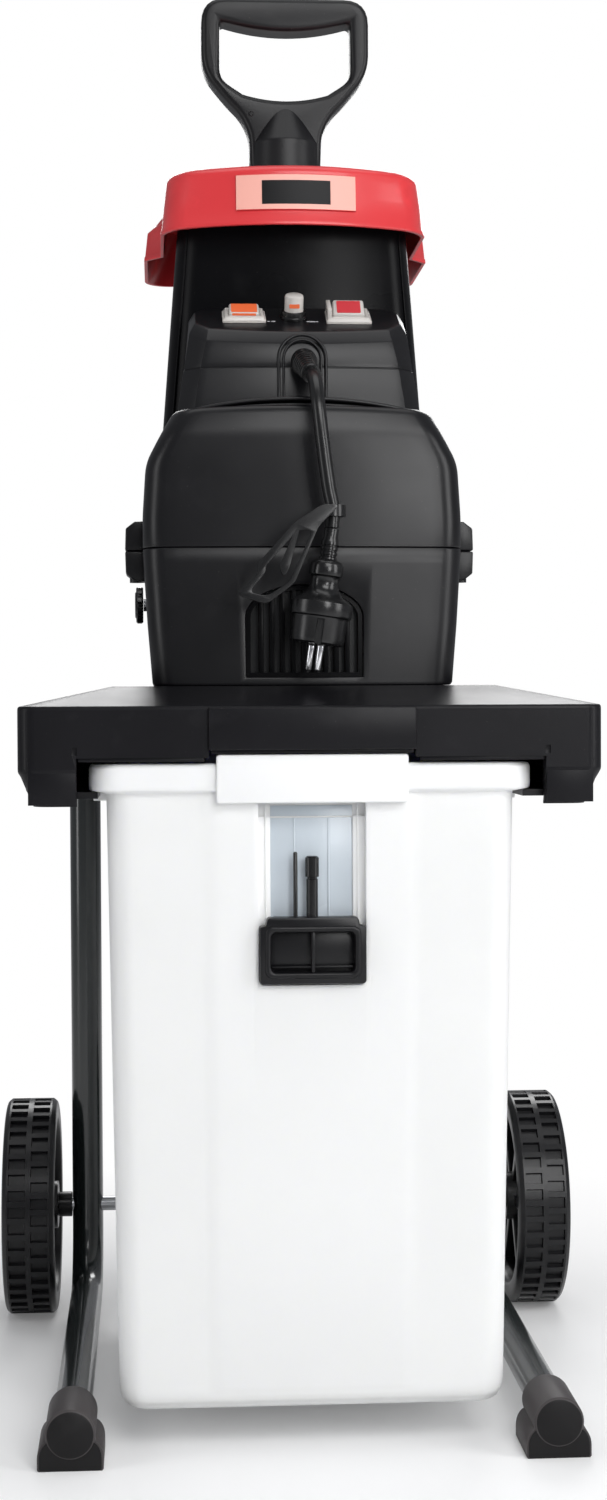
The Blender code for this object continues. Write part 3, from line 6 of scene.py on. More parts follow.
import json
from math import atan2, cos, pi, radians, sin, sqrt

import bmesh
import bpy
from mathutils import Matrix, Vector


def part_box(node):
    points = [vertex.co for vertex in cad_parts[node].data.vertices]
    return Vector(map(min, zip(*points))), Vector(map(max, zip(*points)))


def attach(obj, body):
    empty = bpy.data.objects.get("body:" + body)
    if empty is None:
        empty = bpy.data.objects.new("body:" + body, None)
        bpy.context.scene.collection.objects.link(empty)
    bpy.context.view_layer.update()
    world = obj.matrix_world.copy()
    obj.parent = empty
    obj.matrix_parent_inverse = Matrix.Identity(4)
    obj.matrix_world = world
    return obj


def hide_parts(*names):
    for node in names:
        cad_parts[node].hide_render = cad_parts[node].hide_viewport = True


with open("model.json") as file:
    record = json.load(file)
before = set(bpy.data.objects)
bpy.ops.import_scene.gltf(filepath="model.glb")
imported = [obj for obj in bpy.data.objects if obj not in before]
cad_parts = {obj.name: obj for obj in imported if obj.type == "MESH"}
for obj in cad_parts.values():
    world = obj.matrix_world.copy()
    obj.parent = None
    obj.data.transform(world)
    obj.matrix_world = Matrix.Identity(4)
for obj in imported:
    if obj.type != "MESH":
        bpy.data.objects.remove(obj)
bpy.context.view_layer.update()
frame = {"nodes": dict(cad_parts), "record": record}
NODES = frame["nodes"]
SIDES = (("left", -1), ("right", 1))


# Camera and light

CAMERA_PLACE = Vector((-0.105, -1.736, 0.523))
CAMERA_YAW = radians(3.77)
CAMERA_PITCH = radians(-1.375)
CAMERA_ROLL = radians(-0.257)
SENSOR_HEIGHT = 36.0
FOCAL_LENGTH = 53.08


def make_camera():
    ahead = Vector((sin(CAMERA_YAW), cos(CAMERA_YAW), 0.0))
    forward = ahead * cos(CAMERA_PITCH) + Vector((0.0, 0.0, sin(CAMERA_PITCH)))
    level = Vector((cos(CAMERA_YAW), -sin(CAMERA_YAW), 0.0))
    upright = level.cross(forward)
    right = level * cos(CAMERA_ROLL) + upright * sin(CAMERA_ROLL)
    up = upright * cos(CAMERA_ROLL) - level * sin(CAMERA_ROLL)
    data = bpy.data.cameras.new("camera")
    data.sensor_fit = "VERTICAL"
    data.sensor_height = SENSOR_HEIGHT
    data.lens = FOCAL_LENGTH
    camera = new_object("camera", data)
    turn = Matrix((right, up, -forward)).transposed()
    camera.matrix_world = Matrix.Translation(CAMERA_PLACE) @ turn.to_4x4()
    bpy.context.scene.camera = camera


# name: place, what it points at, width and height, watts
SOFTBOXES = {
    "top_softbox": ((0.0, -0.2, 2.6), (0.0, 0.0, 0.6), (1.8, 1.2), 10.0),
    "front_softbox": ((0.6, -2.4, 2.3), (0.0, 0.0, 0.45), (1.8, 1.0), 30.0),
    "right_softbox": ((2.0, -1.2, 1.1), (0.0, 0.0, 0.6), (0.8, 1.8), 19.0),
    "glow_softbox": ((0.66, -1.95, 0.98), (0.05, 0.0, 0.62), (0.5, 0.7), 9.0),
    "left_softbox": ((-2.1, -0.9, 1.0), (0.0, 0.0, 0.5), (0.6, 1.8), 9.0),
    "back_softbox": ((0.3, 2.2, 1.8), (0.0, 0.0, 0.6), (1.6, 1.0), 26.0),
}
WORLD_COLOUR = (0.93, 0.95, 1.0, 1.0)
WORLD_STRENGTH = 0.24


def new_object(name, data):
    obj = bpy.data.objects.new(name, data)
    bpy.context.scene.collection.objects.link(obj)
    return obj


def softbox(name, place, target, size, power):
    data = bpy.data.lights.new(name, "AREA")
    data.shape = "RECTANGLE"
    data.size, data.size_y = size
    data.energy = power
    light = new_object(name, data)
    light.location = place
    light.rotation_euler = (Vector(target) - Vector(place)).to_track_quat("-Z", "Y").to_euler()


def calculate(nodes, links, operation, first, second):
    node = nodes.new("ShaderNodeMath")
    node.operation = operation
    links.new(first, node.inputs[0])
    links.new(second, node.inputs[1])
    return node.outputs[0]


def mix_into(nodes, links, factor, first, second, out):
    """Blends two shaders and sends the result to an output node."""
    mix = nodes.new("ShaderNodeMixShader")
    for socket, source in zip(mix.inputs, (factor, first.outputs[0], second.outputs[0])):
        links.new(source, socket)
    links.new(mix.outputs[0], out.inputs["Surface"])


def make_light():
    """Softboxes and a faint cool sky, which the camera sees as white."""
    for name, settings in SOFTBOXES.items():
        softbox(name, *settings)
    world = bpy.data.worlds.new("studio")
    bpy.context.scene.world = world
    world.use_nodes = True
    nodes = world.node_tree.nodes
    links = world.node_tree.links
    nodes.clear()
    out = nodes.new("ShaderNodeOutputWorld")
    soft = nodes.new("ShaderNodeBackground")
    soft.inputs["Color"].default_value = WORLD_COLOUR
    soft.inputs["Strength"].default_value = WORLD_STRENGTH
    white = nodes.new("ShaderNodeBackground")
    white.inputs["Color"].default_value = (1.0, 1.0, 1.0, 1.0)
    path = nodes.new("ShaderNodeLightPath").outputs
    seen = calculate(nodes, links, "MAXIMUM", path["Is Camera Ray"], path["Is Transmission Ray"])
    mix_into(nodes, links, seen, soft, white, out)
    bpy.context.scene.view_settings.view_transform = "Standard"


# Materials

def new_material(name):
    material = bpy.data.materials.new(name)
    material.use_nodes = True
    tree = material.node_tree
    return material, tree.nodes, tree.links, tree.nodes["Principled BSDF"]


def noise(nodes, links, scale, detail=3.0, stretch=None):
    """Object-space noise. Stretch scales the axes first, for brushed or drawn surfaces."""
    place = nodes.new("ShaderNodeTexCoord")
    texture = nodes.new("ShaderNodeTexNoise")
    texture.inputs["Scale"].default_value = scale
    texture.inputs["Detail"].default_value = detail
    source = place.outputs["Object"]
    if stretch:
        mapping = nodes.new("ShaderNodeMapping")
        mapping.inputs["Scale"].default_value = stretch
        links.new(source, mapping.inputs["Vector"])
        source = mapping.outputs["Vector"]
    links.new(source, texture.inputs["Vector"])
    return texture.outputs["Fac"]


def ramp(nodes, links, source, low, high, first, last):
    """Maps source between low and high to two numbers."""
    remap = nodes.new("ShaderNodeMapRange")
    remap.inputs["From Min"].default_value = low
    remap.inputs["From Max"].default_value = high
    remap.inputs["To Min"].default_value = first
    remap.inputs["To Max"].default_value = last
    links.new(source, remap.inputs["Value"])
    return remap.outputs["Result"]


def colour_mix(nodes, links, factor, first, second):
    mix = nodes.new("ShaderNodeMix")
    mix.data_type = "RGBA"
    links.new(factor, mix.inputs["Factor"])
    for socket, value in ((mix.inputs["A"], first), (mix.inputs["B"], second)):
        if isinstance(value, tuple):
            socket.default_value = (*value, 1.0)
        else:
            links.new(value, socket)
    return mix.outputs["Result"]


def surface(name, colour, roughness, metallic=0.0, grain=1400.0, bump=0.08, mottle=0.12, wear=0.0, coat=0.0,
            stretch=None, specular=0.5, dust=0.0):
    """A moulded, cast or turned surface: fine grain, cloudy colour and roughness, faint scuffs and dust."""
    material, nodes, links, shader = new_material(name)
    cloud = noise(nodes, links, 9.0, 4.0)
    fine = noise(nodes, links, grain, 2.0, stretch)
    shade = tuple(channel * (1.0 - mottle) for channel in colour)
    light = tuple(min(1.0, channel * (1.0 + mottle)) for channel in colour)
    base = colour_mix(nodes, links, ramp(nodes, links, cloud, 0.3, 0.7, 0.0, 1.0), shade, light)
    if wear:
        scuff = ramp(nodes, links, noise(nodes, links, 42.0, 9.0), 0.60, 0.78, 0.0, wear)
        pale = tuple(min(1.0, channel * 1.5 + 0.012) for channel in colour)
        base = colour_mix(nodes, links, scuff, base, pale)
    if dust:
        specks = ramp(nodes, links, noise(nodes, links, 620.0, 1.0), 0.76, 0.82, 0.0, dust)
        base = colour_mix(nodes, links, specks, base, (0.35, 0.34, 0.32))
    links.new(base, shader.inputs["Base Color"])
    uneven = ramp(nodes, links, cloud, 0.25, 0.75, max(roughness - 0.06, 0.02), roughness + 0.07)
    links.new(uneven, shader.inputs["Roughness"])
    relief = nodes.new("ShaderNodeBump")
    relief.inputs["Strength"].default_value = bump
    relief.inputs["Distance"].default_value = 0.0004
    links.new(fine, relief.inputs["Height"])
    links.new(relief.outputs["Normal"], shader.inputs["Normal"])
    shader.inputs["Metallic"].default_value = metallic
    shader.inputs["Specular IOR Level"].default_value = specular
    if coat:
        shader.inputs["Coat Weight"].default_value = coat
        shader.inputs["Coat Roughness"].default_value = 0.12
    return material


def translucent(name, colour, roughness, transmission, subsurface=0.0, mottle=0.02):
    material = surface(name, colour, roughness, bump=0.03, mottle=mottle)
    shader = material.node_tree.nodes["Principled BSDF"]
    shader.inputs["Transmission Weight"].default_value = transmission
    if subsurface:
        shader.inputs["Subsurface Weight"].default_value = subsurface
        shader.inputs["Subsurface Radius"].default_value = (0.006, 0.006, 0.007)
        shader.inputs["Subsurface Scale"].default_value = 1.0
    return material


def moulded_black(name, colour, roughness, bump, wear, dust, specular):
    return surface(name, colour, roughness, bump=bump, mottle=0.2, wear=wear, dust=dust, specular=specular)


LOOKS = {
    "black_plastic": moulded_black("black_plastic", (0.0046, 0.0045, 0.0056), 0.31, 0.06, 0.25, 0.08, 0.36),
    "deck_plastic": moulded_black("deck_plastic", (0.0060, 0.0058, 0.0074), 0.36, 0.10, 0.3, 0.08, 0.19),
    "hopper_plastic": moulded_black("hopper_plastic", (0.0030, 0.0030, 0.0037), 0.30, 0.05, 0.2, 0.06, 0.09),
    "handle_plastic": moulded_black("handle_plastic", (0.0062, 0.0062, 0.0072), 0.34, 0.10, 0.3, 0.1, 0.36),
    "wheel_plastic": moulded_black("wheel_plastic", (0.0070, 0.0070, 0.0080), 0.30, 0.10, 0.4, 0.15, 0.35),
    "soft_black": moulded_black("soft_black", (0.0060, 0.0060, 0.0065), 0.24, 0.04, 0.5, 0.0, 0.50),
    "cord_black": surface("cord_black", (0.0060, 0.0060, 0.0065), 0.26, grain=500.0, bump=0.05, coat=0.1,
                          specular=0.40),
    "red_plastic": surface("red_plastic", (0.68, 0.034, 0.040), 0.36, bump=0.07, mottle=0.05, wear=0.3,
                           coat=0.3),
    "label": surface("pale_label", (0.87, 0.42, 0.35), 0.42, grain=3000.0, bump=0.02, mottle=0.03),
    "plate": surface("blank_plate", (0.005, 0.005, 0.006), 0.42, specular=0.2, grain=2500.0, bump=0.03),
    "white_plastic": translucent("white_plastic", (0.88, 0.885, 0.89), 0.38, 0.0, 0.35, 0.012),
    "pocket": translucent("pocket_plastic", (0.60, 0.67, 0.74), 0.25, 0.0, 0.2, 0.03),
    "tube_enamel": surface("tube_enamel", (0.014, 0.018, 0.018), 0.20, grain=700.0, bump=0.02, coat=0.6,
                           dust=0.1),
    "foot_plastic": surface("foot_plastic", (0.052, 0.046, 0.047), 0.50, specular=0.35, grain=900.0, bump=0.2,
                            wear=0.3, dust=0.3),
    "foot_face": surface("foot_face", (0.008, 0.0075, 0.008), 0.5, specular=0.25, grain=900.0, bump=0.15,
                         wear=0.3),
    "steel": surface("turned_steel", (0.52, 0.53, 0.55), 0.28, 1.0, 900.0, 0.08, 0.08,
                     stretch=(1.0, 40.0, 40.0)),
    "chrome": surface("plated_pin", (0.80, 0.80, 0.82), 0.10, 1.0, 900.0, 0.03, 0.05),
    "cast": surface("cast_metal", (0.42, 0.43, 0.44), 0.50, 0.9, 500.0, 0.3, 0.12),
    "copper": surface("winding", (0.50, 0.20, 0.09), 0.38, 0.8, 800.0, 0.3, 0.15, stretch=(1.0, 1.0, 20.0)),
    "clear": translucent("clear_cover", (0.90, 0.86, 0.82), 0.16, 0.45, 0.0, 0.03),
    "orange_key": surface("orange_key", (0.83, 0.15, 0.045), 0.25, bump=0.03, mottle=0.08, coat=0.4),
    "red_key": surface("red_key", (0.52, 0.020, 0.030), 0.38, bump=0.03, mottle=0.06, specular=0.25),
    "print": surface("panel_print", (0.62, 0.62, 0.64), 0.45, bump=0.02, mottle=0.05),
}

# Each look belongs to the record's slot of the same name, apart from these.
SLOT_OF_LOOK = {look: look for look in LOOKS}
SLOT_OF_LOOK.update({
    "deck_plastic": "black_plastic", "hopper_plastic": "black_plastic", "handle_plastic": "black_plastic",
    "cord_black": "soft_black", "plate": "soft_black", "label": "pale_label", "pocket": "white_plastic",
    "print": "white_plastic", "foot_face": "foot_plastic", "steel": "bright_steel", "chrome": "pin_chrome",
    "cast": "cast_metal", "copper": "winding", "clear": "clear_cover",
})
LOOK_OF_SLOT = {slot: look for look, slot in reversed(SLOT_OF_LOOK.items())}


def finish_cad_nodes():
    slot_of_node = {entry["node"]: entry["material_slot"] for entry in frame["record"]["subparts"]}
    for name, obj in NODES.items():
        obj.data.materials.clear()
        obj.data.materials.append(LOOKS[LOOK_OF_SLOT[slot_of_node[name]]])
        obj.data.shade_smooth()
        obj.data.set_sharp_from_angle(angle=radians(32))


# Building blocks

def place(obj, look, body, replaced=()):
    obj.data.materials.clear()
    obj.data.materials.append(LOOKS[look])
    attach(obj, body)
    if replaced:
        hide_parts(*replaced)
    return obj


def mesh_of(name, bm):
    bmesh.ops.recalc_face_normals(bm, faces=bm.faces)
    mesh = bpy.data.meshes.new(name)
    bm.to_mesh(mesh)
    bm.free()
    return mesh


def from_bmesh(name, bm, look, body, replaced=(), sharp=35.0):
    mesh = mesh_of(name, bm)
    mesh.shade_smooth()
    mesh.set_sharp_from_angle(angle=radians(sharp))
    return place(new_object(name, mesh), look, body, replaced)


def loft_mesh(loops, ring=False, bm=None):
    """Faces between successive loops. The ends are capped, or joined to each other in a ring."""
    bm = bm or bmesh.new()
    rows = [[bm.verts.new(point) for point in loop] for loop in loops]
    pairs = list(zip(rows, rows[1:]))
    if ring:
        pairs.append((rows[-1], rows[0]))
    count = len(rows[0])
    for low, high in pairs:
        for i in range(count):
            j = (i + 1) % count
            bm.faces.new((low[i], low[j], high[j], high[i]))
    if not ring:
        bm.faces.new(rows[0])
        bm.faces.new(rows[-1])
    return bm


def loft(name, loops, look, body, replaced=(), ring=False, sharp=35.0):
    return from_bmesh(name, loft_mesh(loops, ring), look, body, replaced, sharp)


def tool(name, loops):
    """A hidden form that cuts or joins."""
    return new_object(name, mesh_of(name, loft_mesh(loops)))


def apply_modifiers(obj):
    graph = bpy.context.evaluated_depsgraph_get()
    graph.update()
    mesh = bpy.data.meshes.new_from_object(obj.evaluated_get(graph))
    obj.modifiers.clear()
    obj.data = mesh


def shade(mesh, sharp):
    """Smooth, but flat on the wide plane faces and the many-sided ones that a cut leaves."""
    mesh.shade_smooth()
    for face in mesh.polygons:
        level = max(abs(part) for part in face.normal) > 0.9995
        if len(face.vertices) > 4 or (level and face.area > 0.0001):
            face.use_smooth = False
    mesh.set_sharp_from_angle(angle=radians(sharp))


def carve(target, operation, tools):
    """Cuts or joins the tools, and removes them."""
    for item in tools:
        modifier = target.modifiers.new(item.name, "BOOLEAN")
        modifier.operation = operation
        modifier.object = item
    apply_modifiers(target)
    for item in tools:
        bpy.data.objects.remove(item)
    shade(target.data, 35.0)
    return target


def soft_edges(obj, width, segments=3, angle=35.0):
    modifier = obj.modifiers.new("soft_edges", "BEVEL")
    modifier.width = width
    modifier.segments = segments
    modifier.limit_method = "ANGLE"
    modifier.angle_limit = radians(angle)
    apply_modifiers(obj)
    shade(obj.data, 50.0)
    return obj


def box_loops(low, high):
    return [
        [Vector((low[0], low[1], z)), Vector((high[0], low[1], z)), Vector((high[0], high[1], z)),
         Vector((low[0], high[1], z))]
        for z in (low[2], high[2])
    ]


def block(name, low, high, look, body, replaced=(), edge=0.0008, segments=2):
    obj = loft(name, box_loops(low, high), look, body, replaced)
    return soft_edges(obj, edge, segments)


def twin_blocks(name, low, high, look, body, edge):
    """A block and its mirror image about x = 0. The side takes the place of %s in the name."""
    for side, sign in SIDES:
        near, far = sorted((sign * low[0], sign * high[0]))
        block(name % side, (near, *low[1:]), (far, *high[1:]), look, body, edge=edge)


def on_axis(axis, along, u, v):
    if axis == "X":
        return Vector((along, u, v))
    if axis == "Y":
        return Vector((u, along, v))
    return Vector((u, v, along))


def clamp(share):
    return max(0.0, min(1.0, share))


def arc_line(centre, radii, start, end, steps):
    """Points on part of an ellipse, from one angle to another, with both ends."""
    found = []
    for i in range(steps + 1):
        angle = start + (end - start) * i / steps
        found.append((centre[0] + radii[0] * cos(angle), centre[1] + radii[1] * sin(angle)))
    return found


def circle(radius, centre=(0.0, 0.0), steps=48):
    return [
        (centre[0] + radius * cos(2 * pi * i / steps), centre[1] + radius * sin(2 * pi * i / steps))
        for i in range(steps)
    ]


def turned_loops(profile, axis, centre, steps=48):
    return [[on_axis(axis, along, u, v) for u, v in circle(radius, centre, steps)]
            for radius, along in profile]


def blend_corner(before, corner, after, reach, steps):
    """Points on a curve that rounds one corner of a line through rows of numbers."""
    def towards(other):
        length = sqrt(sum((a - b) ** 2 for a, b in zip(other, corner)))
        share = min(0.5, reach / length) if length else 0.0
        return tuple(b + (a - b) * share for a, b in zip(other, corner))

    start, end = towards(before), towards(after)
    found = []
    for i in range(steps + 1):
        t = i / steps
        found.append(tuple(
            (1 - t) ** 2 * a + 2 * t * (1 - t) * b + t ** 2 * c for a, b, c in zip(start, corner, end)
        ))
    return found


def soften(rows, reach, steps=4, closed=False):
    """Rounds the corners of a line. Reach is one distance, or one for each row, 0 for a sharp one."""
    found = []
    count = len(rows)
    for i, row in enumerate(rows):
        far = reach[i] if isinstance(reach, (tuple, list)) else reach
        if (not closed and i in (0, count - 1)) or far == 0.0:
            found.append(tuple(row))
            continue
        found += blend_corner(rows[i - 1], row, rows[(i + 1) % count], far, steps)
    return found


def plan_loop(half, front, back, corner, height, bow=0.0, arc=8, front_points=12, narrow=None, relief=None):
    """A rectangle with round corners and a bowed front.

    Height is a number or a function of y. Narrow is (ratio of the width at the front, y where that ends,
    y of the full width), and relief is a function of x that raises the front.
    """
    points = []
    corners = (
        (half - corner, front + corner, -pi / 2), (half - corner, back - corner, 0.0),
        (-half + corner, back - corner, pi / 2), (-half + corner, front + corner, pi),
    )
    for x, y, start in corners:
        if narrow and start == 0.0:
            points += [(half, narrow[1]), (half, narrow[2])]
        if narrow and start == pi:
            points += [(-half, narrow[2]), (-half, narrow[1])]
        points += arc_line((x, y), (corner, corner), start, start + pi / 2, arc)
    inner = half - corner
    for i in range(1, front_points):
        points.append((inner * (2 * i / front_points - 1), front))
    loop = []
    for x, y in points:
        forward = bow * (1.0 - (x / half) ** 2) if y < front + corner + 1e-6 else 0.0
        if relief and y < front + 1e-6:
            forward += relief(x)
        ratio = 1.0
        if narrow:
            ratio = narrow[0] + (1.0 - narrow[0]) * clamp((y - narrow[1]) / (narrow[2] - narrow[1]))
        z = height(y - forward) if callable(height) else height
        loop.append(Vector((x * ratio, y - forward, z)))
    return loop


def rounded_rect(half_u, half_v, corner, centre=(0.0, 0.0), arc=6):
    points = []
    for u, v, start in ((half_u - corner, -half_v + corner, -pi / 2),
                        (half_u - corner, half_v - corner, 0.0),
                        (-half_u + corner, half_v - corner, pi / 2),
                        (-half_u + corner, -half_v + corner, pi)):
        points += arc_line((centre[0] + u, centre[1] + v), (corner, corner), start, start + pi / 2, arc)
    return points


def prism_loops(outline, front, back):
    """An outline in x and z, drawn out along y."""
    return [[Vector((x, y, z)) for x, z in outline] for y in (front, back)]


def mirrored(half_outline):
    left = [(-u, v) for u, v in reversed(half_outline) if u > 1e-9]
    return list(half_outline) + left


def tube(name, points, radius, look, body, replaced=(), resolution=4):
    """A round bar along points, as a mesh."""
    curve = bpy.data.curves.new(name, "CURVE")
    curve.dimensions = "3D"
    curve.bevel_depth = radius
    curve.bevel_resolution = resolution
    curve.use_fill_caps = True
    spline = curve.splines.new("POLY")
    spline.points.add(len(points) - 1)
    for target, point in zip(spline.points, points):
        target.co = (*point, 1.0)
    source = new_object(name + "_path", curve)
    graph = bpy.context.evaluated_depsgraph_get()
    mesh = bpy.data.meshes.new_from_object(source.evaluated_get(graph))
    bpy.data.objects.remove(source)
    mesh.shade_smooth()
    mesh.set_sharp_from_angle(angle=radians(50))
    return place(new_object(name, mesh), look, body, replaced)


# Frame, wheels and feet

def middle_of(node):
    low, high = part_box(node)
    return (low + high) / 2, (high - low) / 2


def frame_tube(side):
    low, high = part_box("frame_tube_" + side)
    radius = (high.x - low.x) / 2
    bend = 0.050
    x = (low.x + high.x) / 2
    back = high.y - radius
    foot = low.z + radius
    points = [(low.y, foot), ((low.y + back - bend) / 2, foot)]
    points += arc_line((back - bend, foot + bend), (bend, bend), -pi / 2, 0.0, 16)
    points += [(back, (foot + bend + high.z) / 2), (back, high.z)]
    points = [Vector((x, y, z)) for y, z in points]
    tube("tube_" + side, points, radius, "tube_enamel", "machine", ["frame_tube_" + side], resolution=9)


def foot_cap(side):
    """A sleeve on the tube with a shouldered block under it, and dark front faces."""
    low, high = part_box("foot_cap_" + side)
    x = (low.x + high.x) / 2
    sleeve_radius = 0.0172
    centre = (x, high.z - sleeve_radius)
    half = (high.x - low.x) / 2
    sleeve = tool("sleeve", turned_loops(((sleeve_radius - 0.0012, low.y + 0.0005),
                                          (sleeve_radius, low.y + 0.0018), (sleeve_radius, high.y - 0.0012),
                                          (sleeve_radius - 0.0012, high.y)), "Y", centre, 56))
    outline = [(half - 0.001, 0.0), (half, 0.0012)]
    outline = mirrored(outline + arc_line((half - 0.0085, 0.0085), (0.0085, 0.0125), 0.0, pi / 2, 8))
    base = loft("foot_" + side, prism_loops([(x + u, v) for u, v in outline], low.y + 0.0020, high.y - 0.006),
                "foot_plastic", "machine", ["foot_cap_" + side])
    carve(base, "UNION", [sleeve])
    bore = tool("bore", turned_loops(((0.0132, low.y + 0.006), (0.0132, high.y + 0.01)), "Y", centre, 40))
    carve(base, "DIFFERENCE", [bore])
    soft_edges(base, 0.0007, 2, 40.0)
    disc = ((0.0002, low.y), (sleeve_radius - 0.0022, low.y), (sleeve_radius - 0.0014, low.y + 0.0005),
            (sleeve_radius - 0.0014, low.y + 0.0012))
    loft("foot_face_" + side, turned_loops(disc, "Y", centre, 56), "foot_face", "machine")
    front = [(x + u * 0.94, 0.0006 + v * 0.94) for u, v in outline]
    loft("foot_front_" + side, prism_loops(front, low.y + 0.0014, low.y + 0.0030), "foot_face", "machine")


TREAD_BLOCKS = 42
TREAD_DEPTH = 0.0032
SPOKES = 6


def wheel(side, sign):
    """One loft round the axle. Two staggered rows of pockets leave a lattice of ribs on the tyre."""
    centre, size = middle_of("wheel_" + side)
    half, radius = size.x, size.z
    web = 0.006
    tyre = radius - 0.020
    wall = 0.0004
    side_profile = soften([(-half, 0.0063), (-half, 0.020), (-web, 0.0205), (-web, tyre),
                           (-half + 0.004, tyre + 0.002), (-half + 0.0005, tyre + 0.0035),
                           (-half, tyre + 0.006), (-half, radius - 0.0060),
                           (-half + 0.0008, radius - 0.0026), (-half + 0.0040, radius)], 0.0012, 2)
    profile = [(along, reach, None) for along, reach in side_profile]
    for row, (start, end) in enumerate(((-half + 0.0055, -0.0022), (0.0022, half - 0.0055))):
        profile += [(start, radius, None), (start + wall, radius, row), (end - wall, radius, row),
                    (end, radius, None)]
    hub = half - 0.010
    profile += [(-along, reach, None) for along, reach in reversed(side_profile[4:])]
    profile += [(hub, 0.0200, None), (hub, 0.0063, None)]
    edges = (0.19, 0.31, 0.69, 0.81)
    shares = [edge + shift for edge in edges for shift in (-0.02, 0.02)]
    loops = []
    for along, reach, row in profile:
        loop = []
        for i in range(TREAD_BLOCKS):
            for share in shares:
                inside = (0.2 < share < 0.8) if row == 0 else (share < 0.3 or share > 0.7)
                depth = TREAD_DEPTH if row is not None and inside else 0.0
                angle = 2 * pi * (i + share) / TREAD_BLOCKS
                loop.append(centre + Vector((sign * along, (reach - depth) * cos(angle),
                                             (reach - depth) * sin(angle))))
        loops.append(loop)
    loft("tyre_" + side, loops, "wheel_plastic", "wheel_" + side, ["wheel_" + side], ring=True, sharp=28.0)
    for face, near, far_end in (("outer", web - 0.0005, half - 0.006),
                                ("inner", -half + 0.006, -web + 0.0005)):
        bm = bmesh.new()
        for i in range(SPOKES):
            angle = 2 * pi * i / SPOKES
            out = Vector((0.0, cos(angle), sin(angle)))
            across = Vector((0.0, -sin(angle), cos(angle)))
            corners = ((near, -1), (far_end, -0.7), (far_end, 0.7), (near, 1))
            ends = ((0.0195, 0.0042), (tyre + 0.0005, 0.0030))
            loft_mesh([[centre + out * reach + across * thick * share + Vector((sign * along, 0.0, 0.0))
                        for along, share in corners] for reach, thick in ends], bm=bm)
        spokes = from_bmesh("wheel_spokes_%s_%s" % (face, side), bm, "wheel_plastic", "wheel_" + side)
        soft_edges(spokes, 0.0008, 2)


def axle_pieces():
    """The rod, its spacers and its hub caps."""
    for side, sign in SIDES:
        for name, look in (("wheel_spacer_", "black_plastic"), ("hub_cap_", "chrome")):
            centre, size = middle_of(name + side)
            inner = 0.0062
            if name == "hub_cap_":
                profile = soften([(0.0065, -size.x), (size.z, -size.x), (size.z, size.x * 0.1),
                                  (size.z * 0.62, size.x), (0.0004, size.x)], 0.002, 3)
            else:
                profile = [(inner, -size.x), (size.z - 0.0006, -size.x), (size.z, -size.x + 0.0006),
                           (size.z, size.x - 0.0006), (size.z - 0.0006, size.x), (inner, size.x)]
            loops = turned_loops([(r, centre.x + sign * a) for r, a in profile], "X", (centre.y, centre.z),
                                 40)
            loft(name + "fine_" + side, loops, look, "machine", [name + side])
    centre, size = middle_of("axle_rod")
    profile = ((size.z - 0.0008, -size.x), (size.z, -size.x + 0.0008), (size.z, size.x - 0.0008),
               (size.z - 0.0008, size.x))
    loft("axle", turned_loops(profile, "X", (centre.y, centre.z), 36), "steel", "machine", ["axle_rod"])


# Deck

DECK_WALL = 0.004
BROW_HALF, BROW_FOOT = 0.0705, 0.4872
BRACKET_X = 0.1605
CHUTE_HALF, CHUTE_FRONT, CHUTE_BACK = 0.050, 0.008, 0.102


def chute(low, high):
    """The cut for the chips' way down."""
    return tool("chute", box_loops((-CHUTE_HALF, CHUTE_FRONT, low), (CHUTE_HALF, CHUTE_BACK, high)))


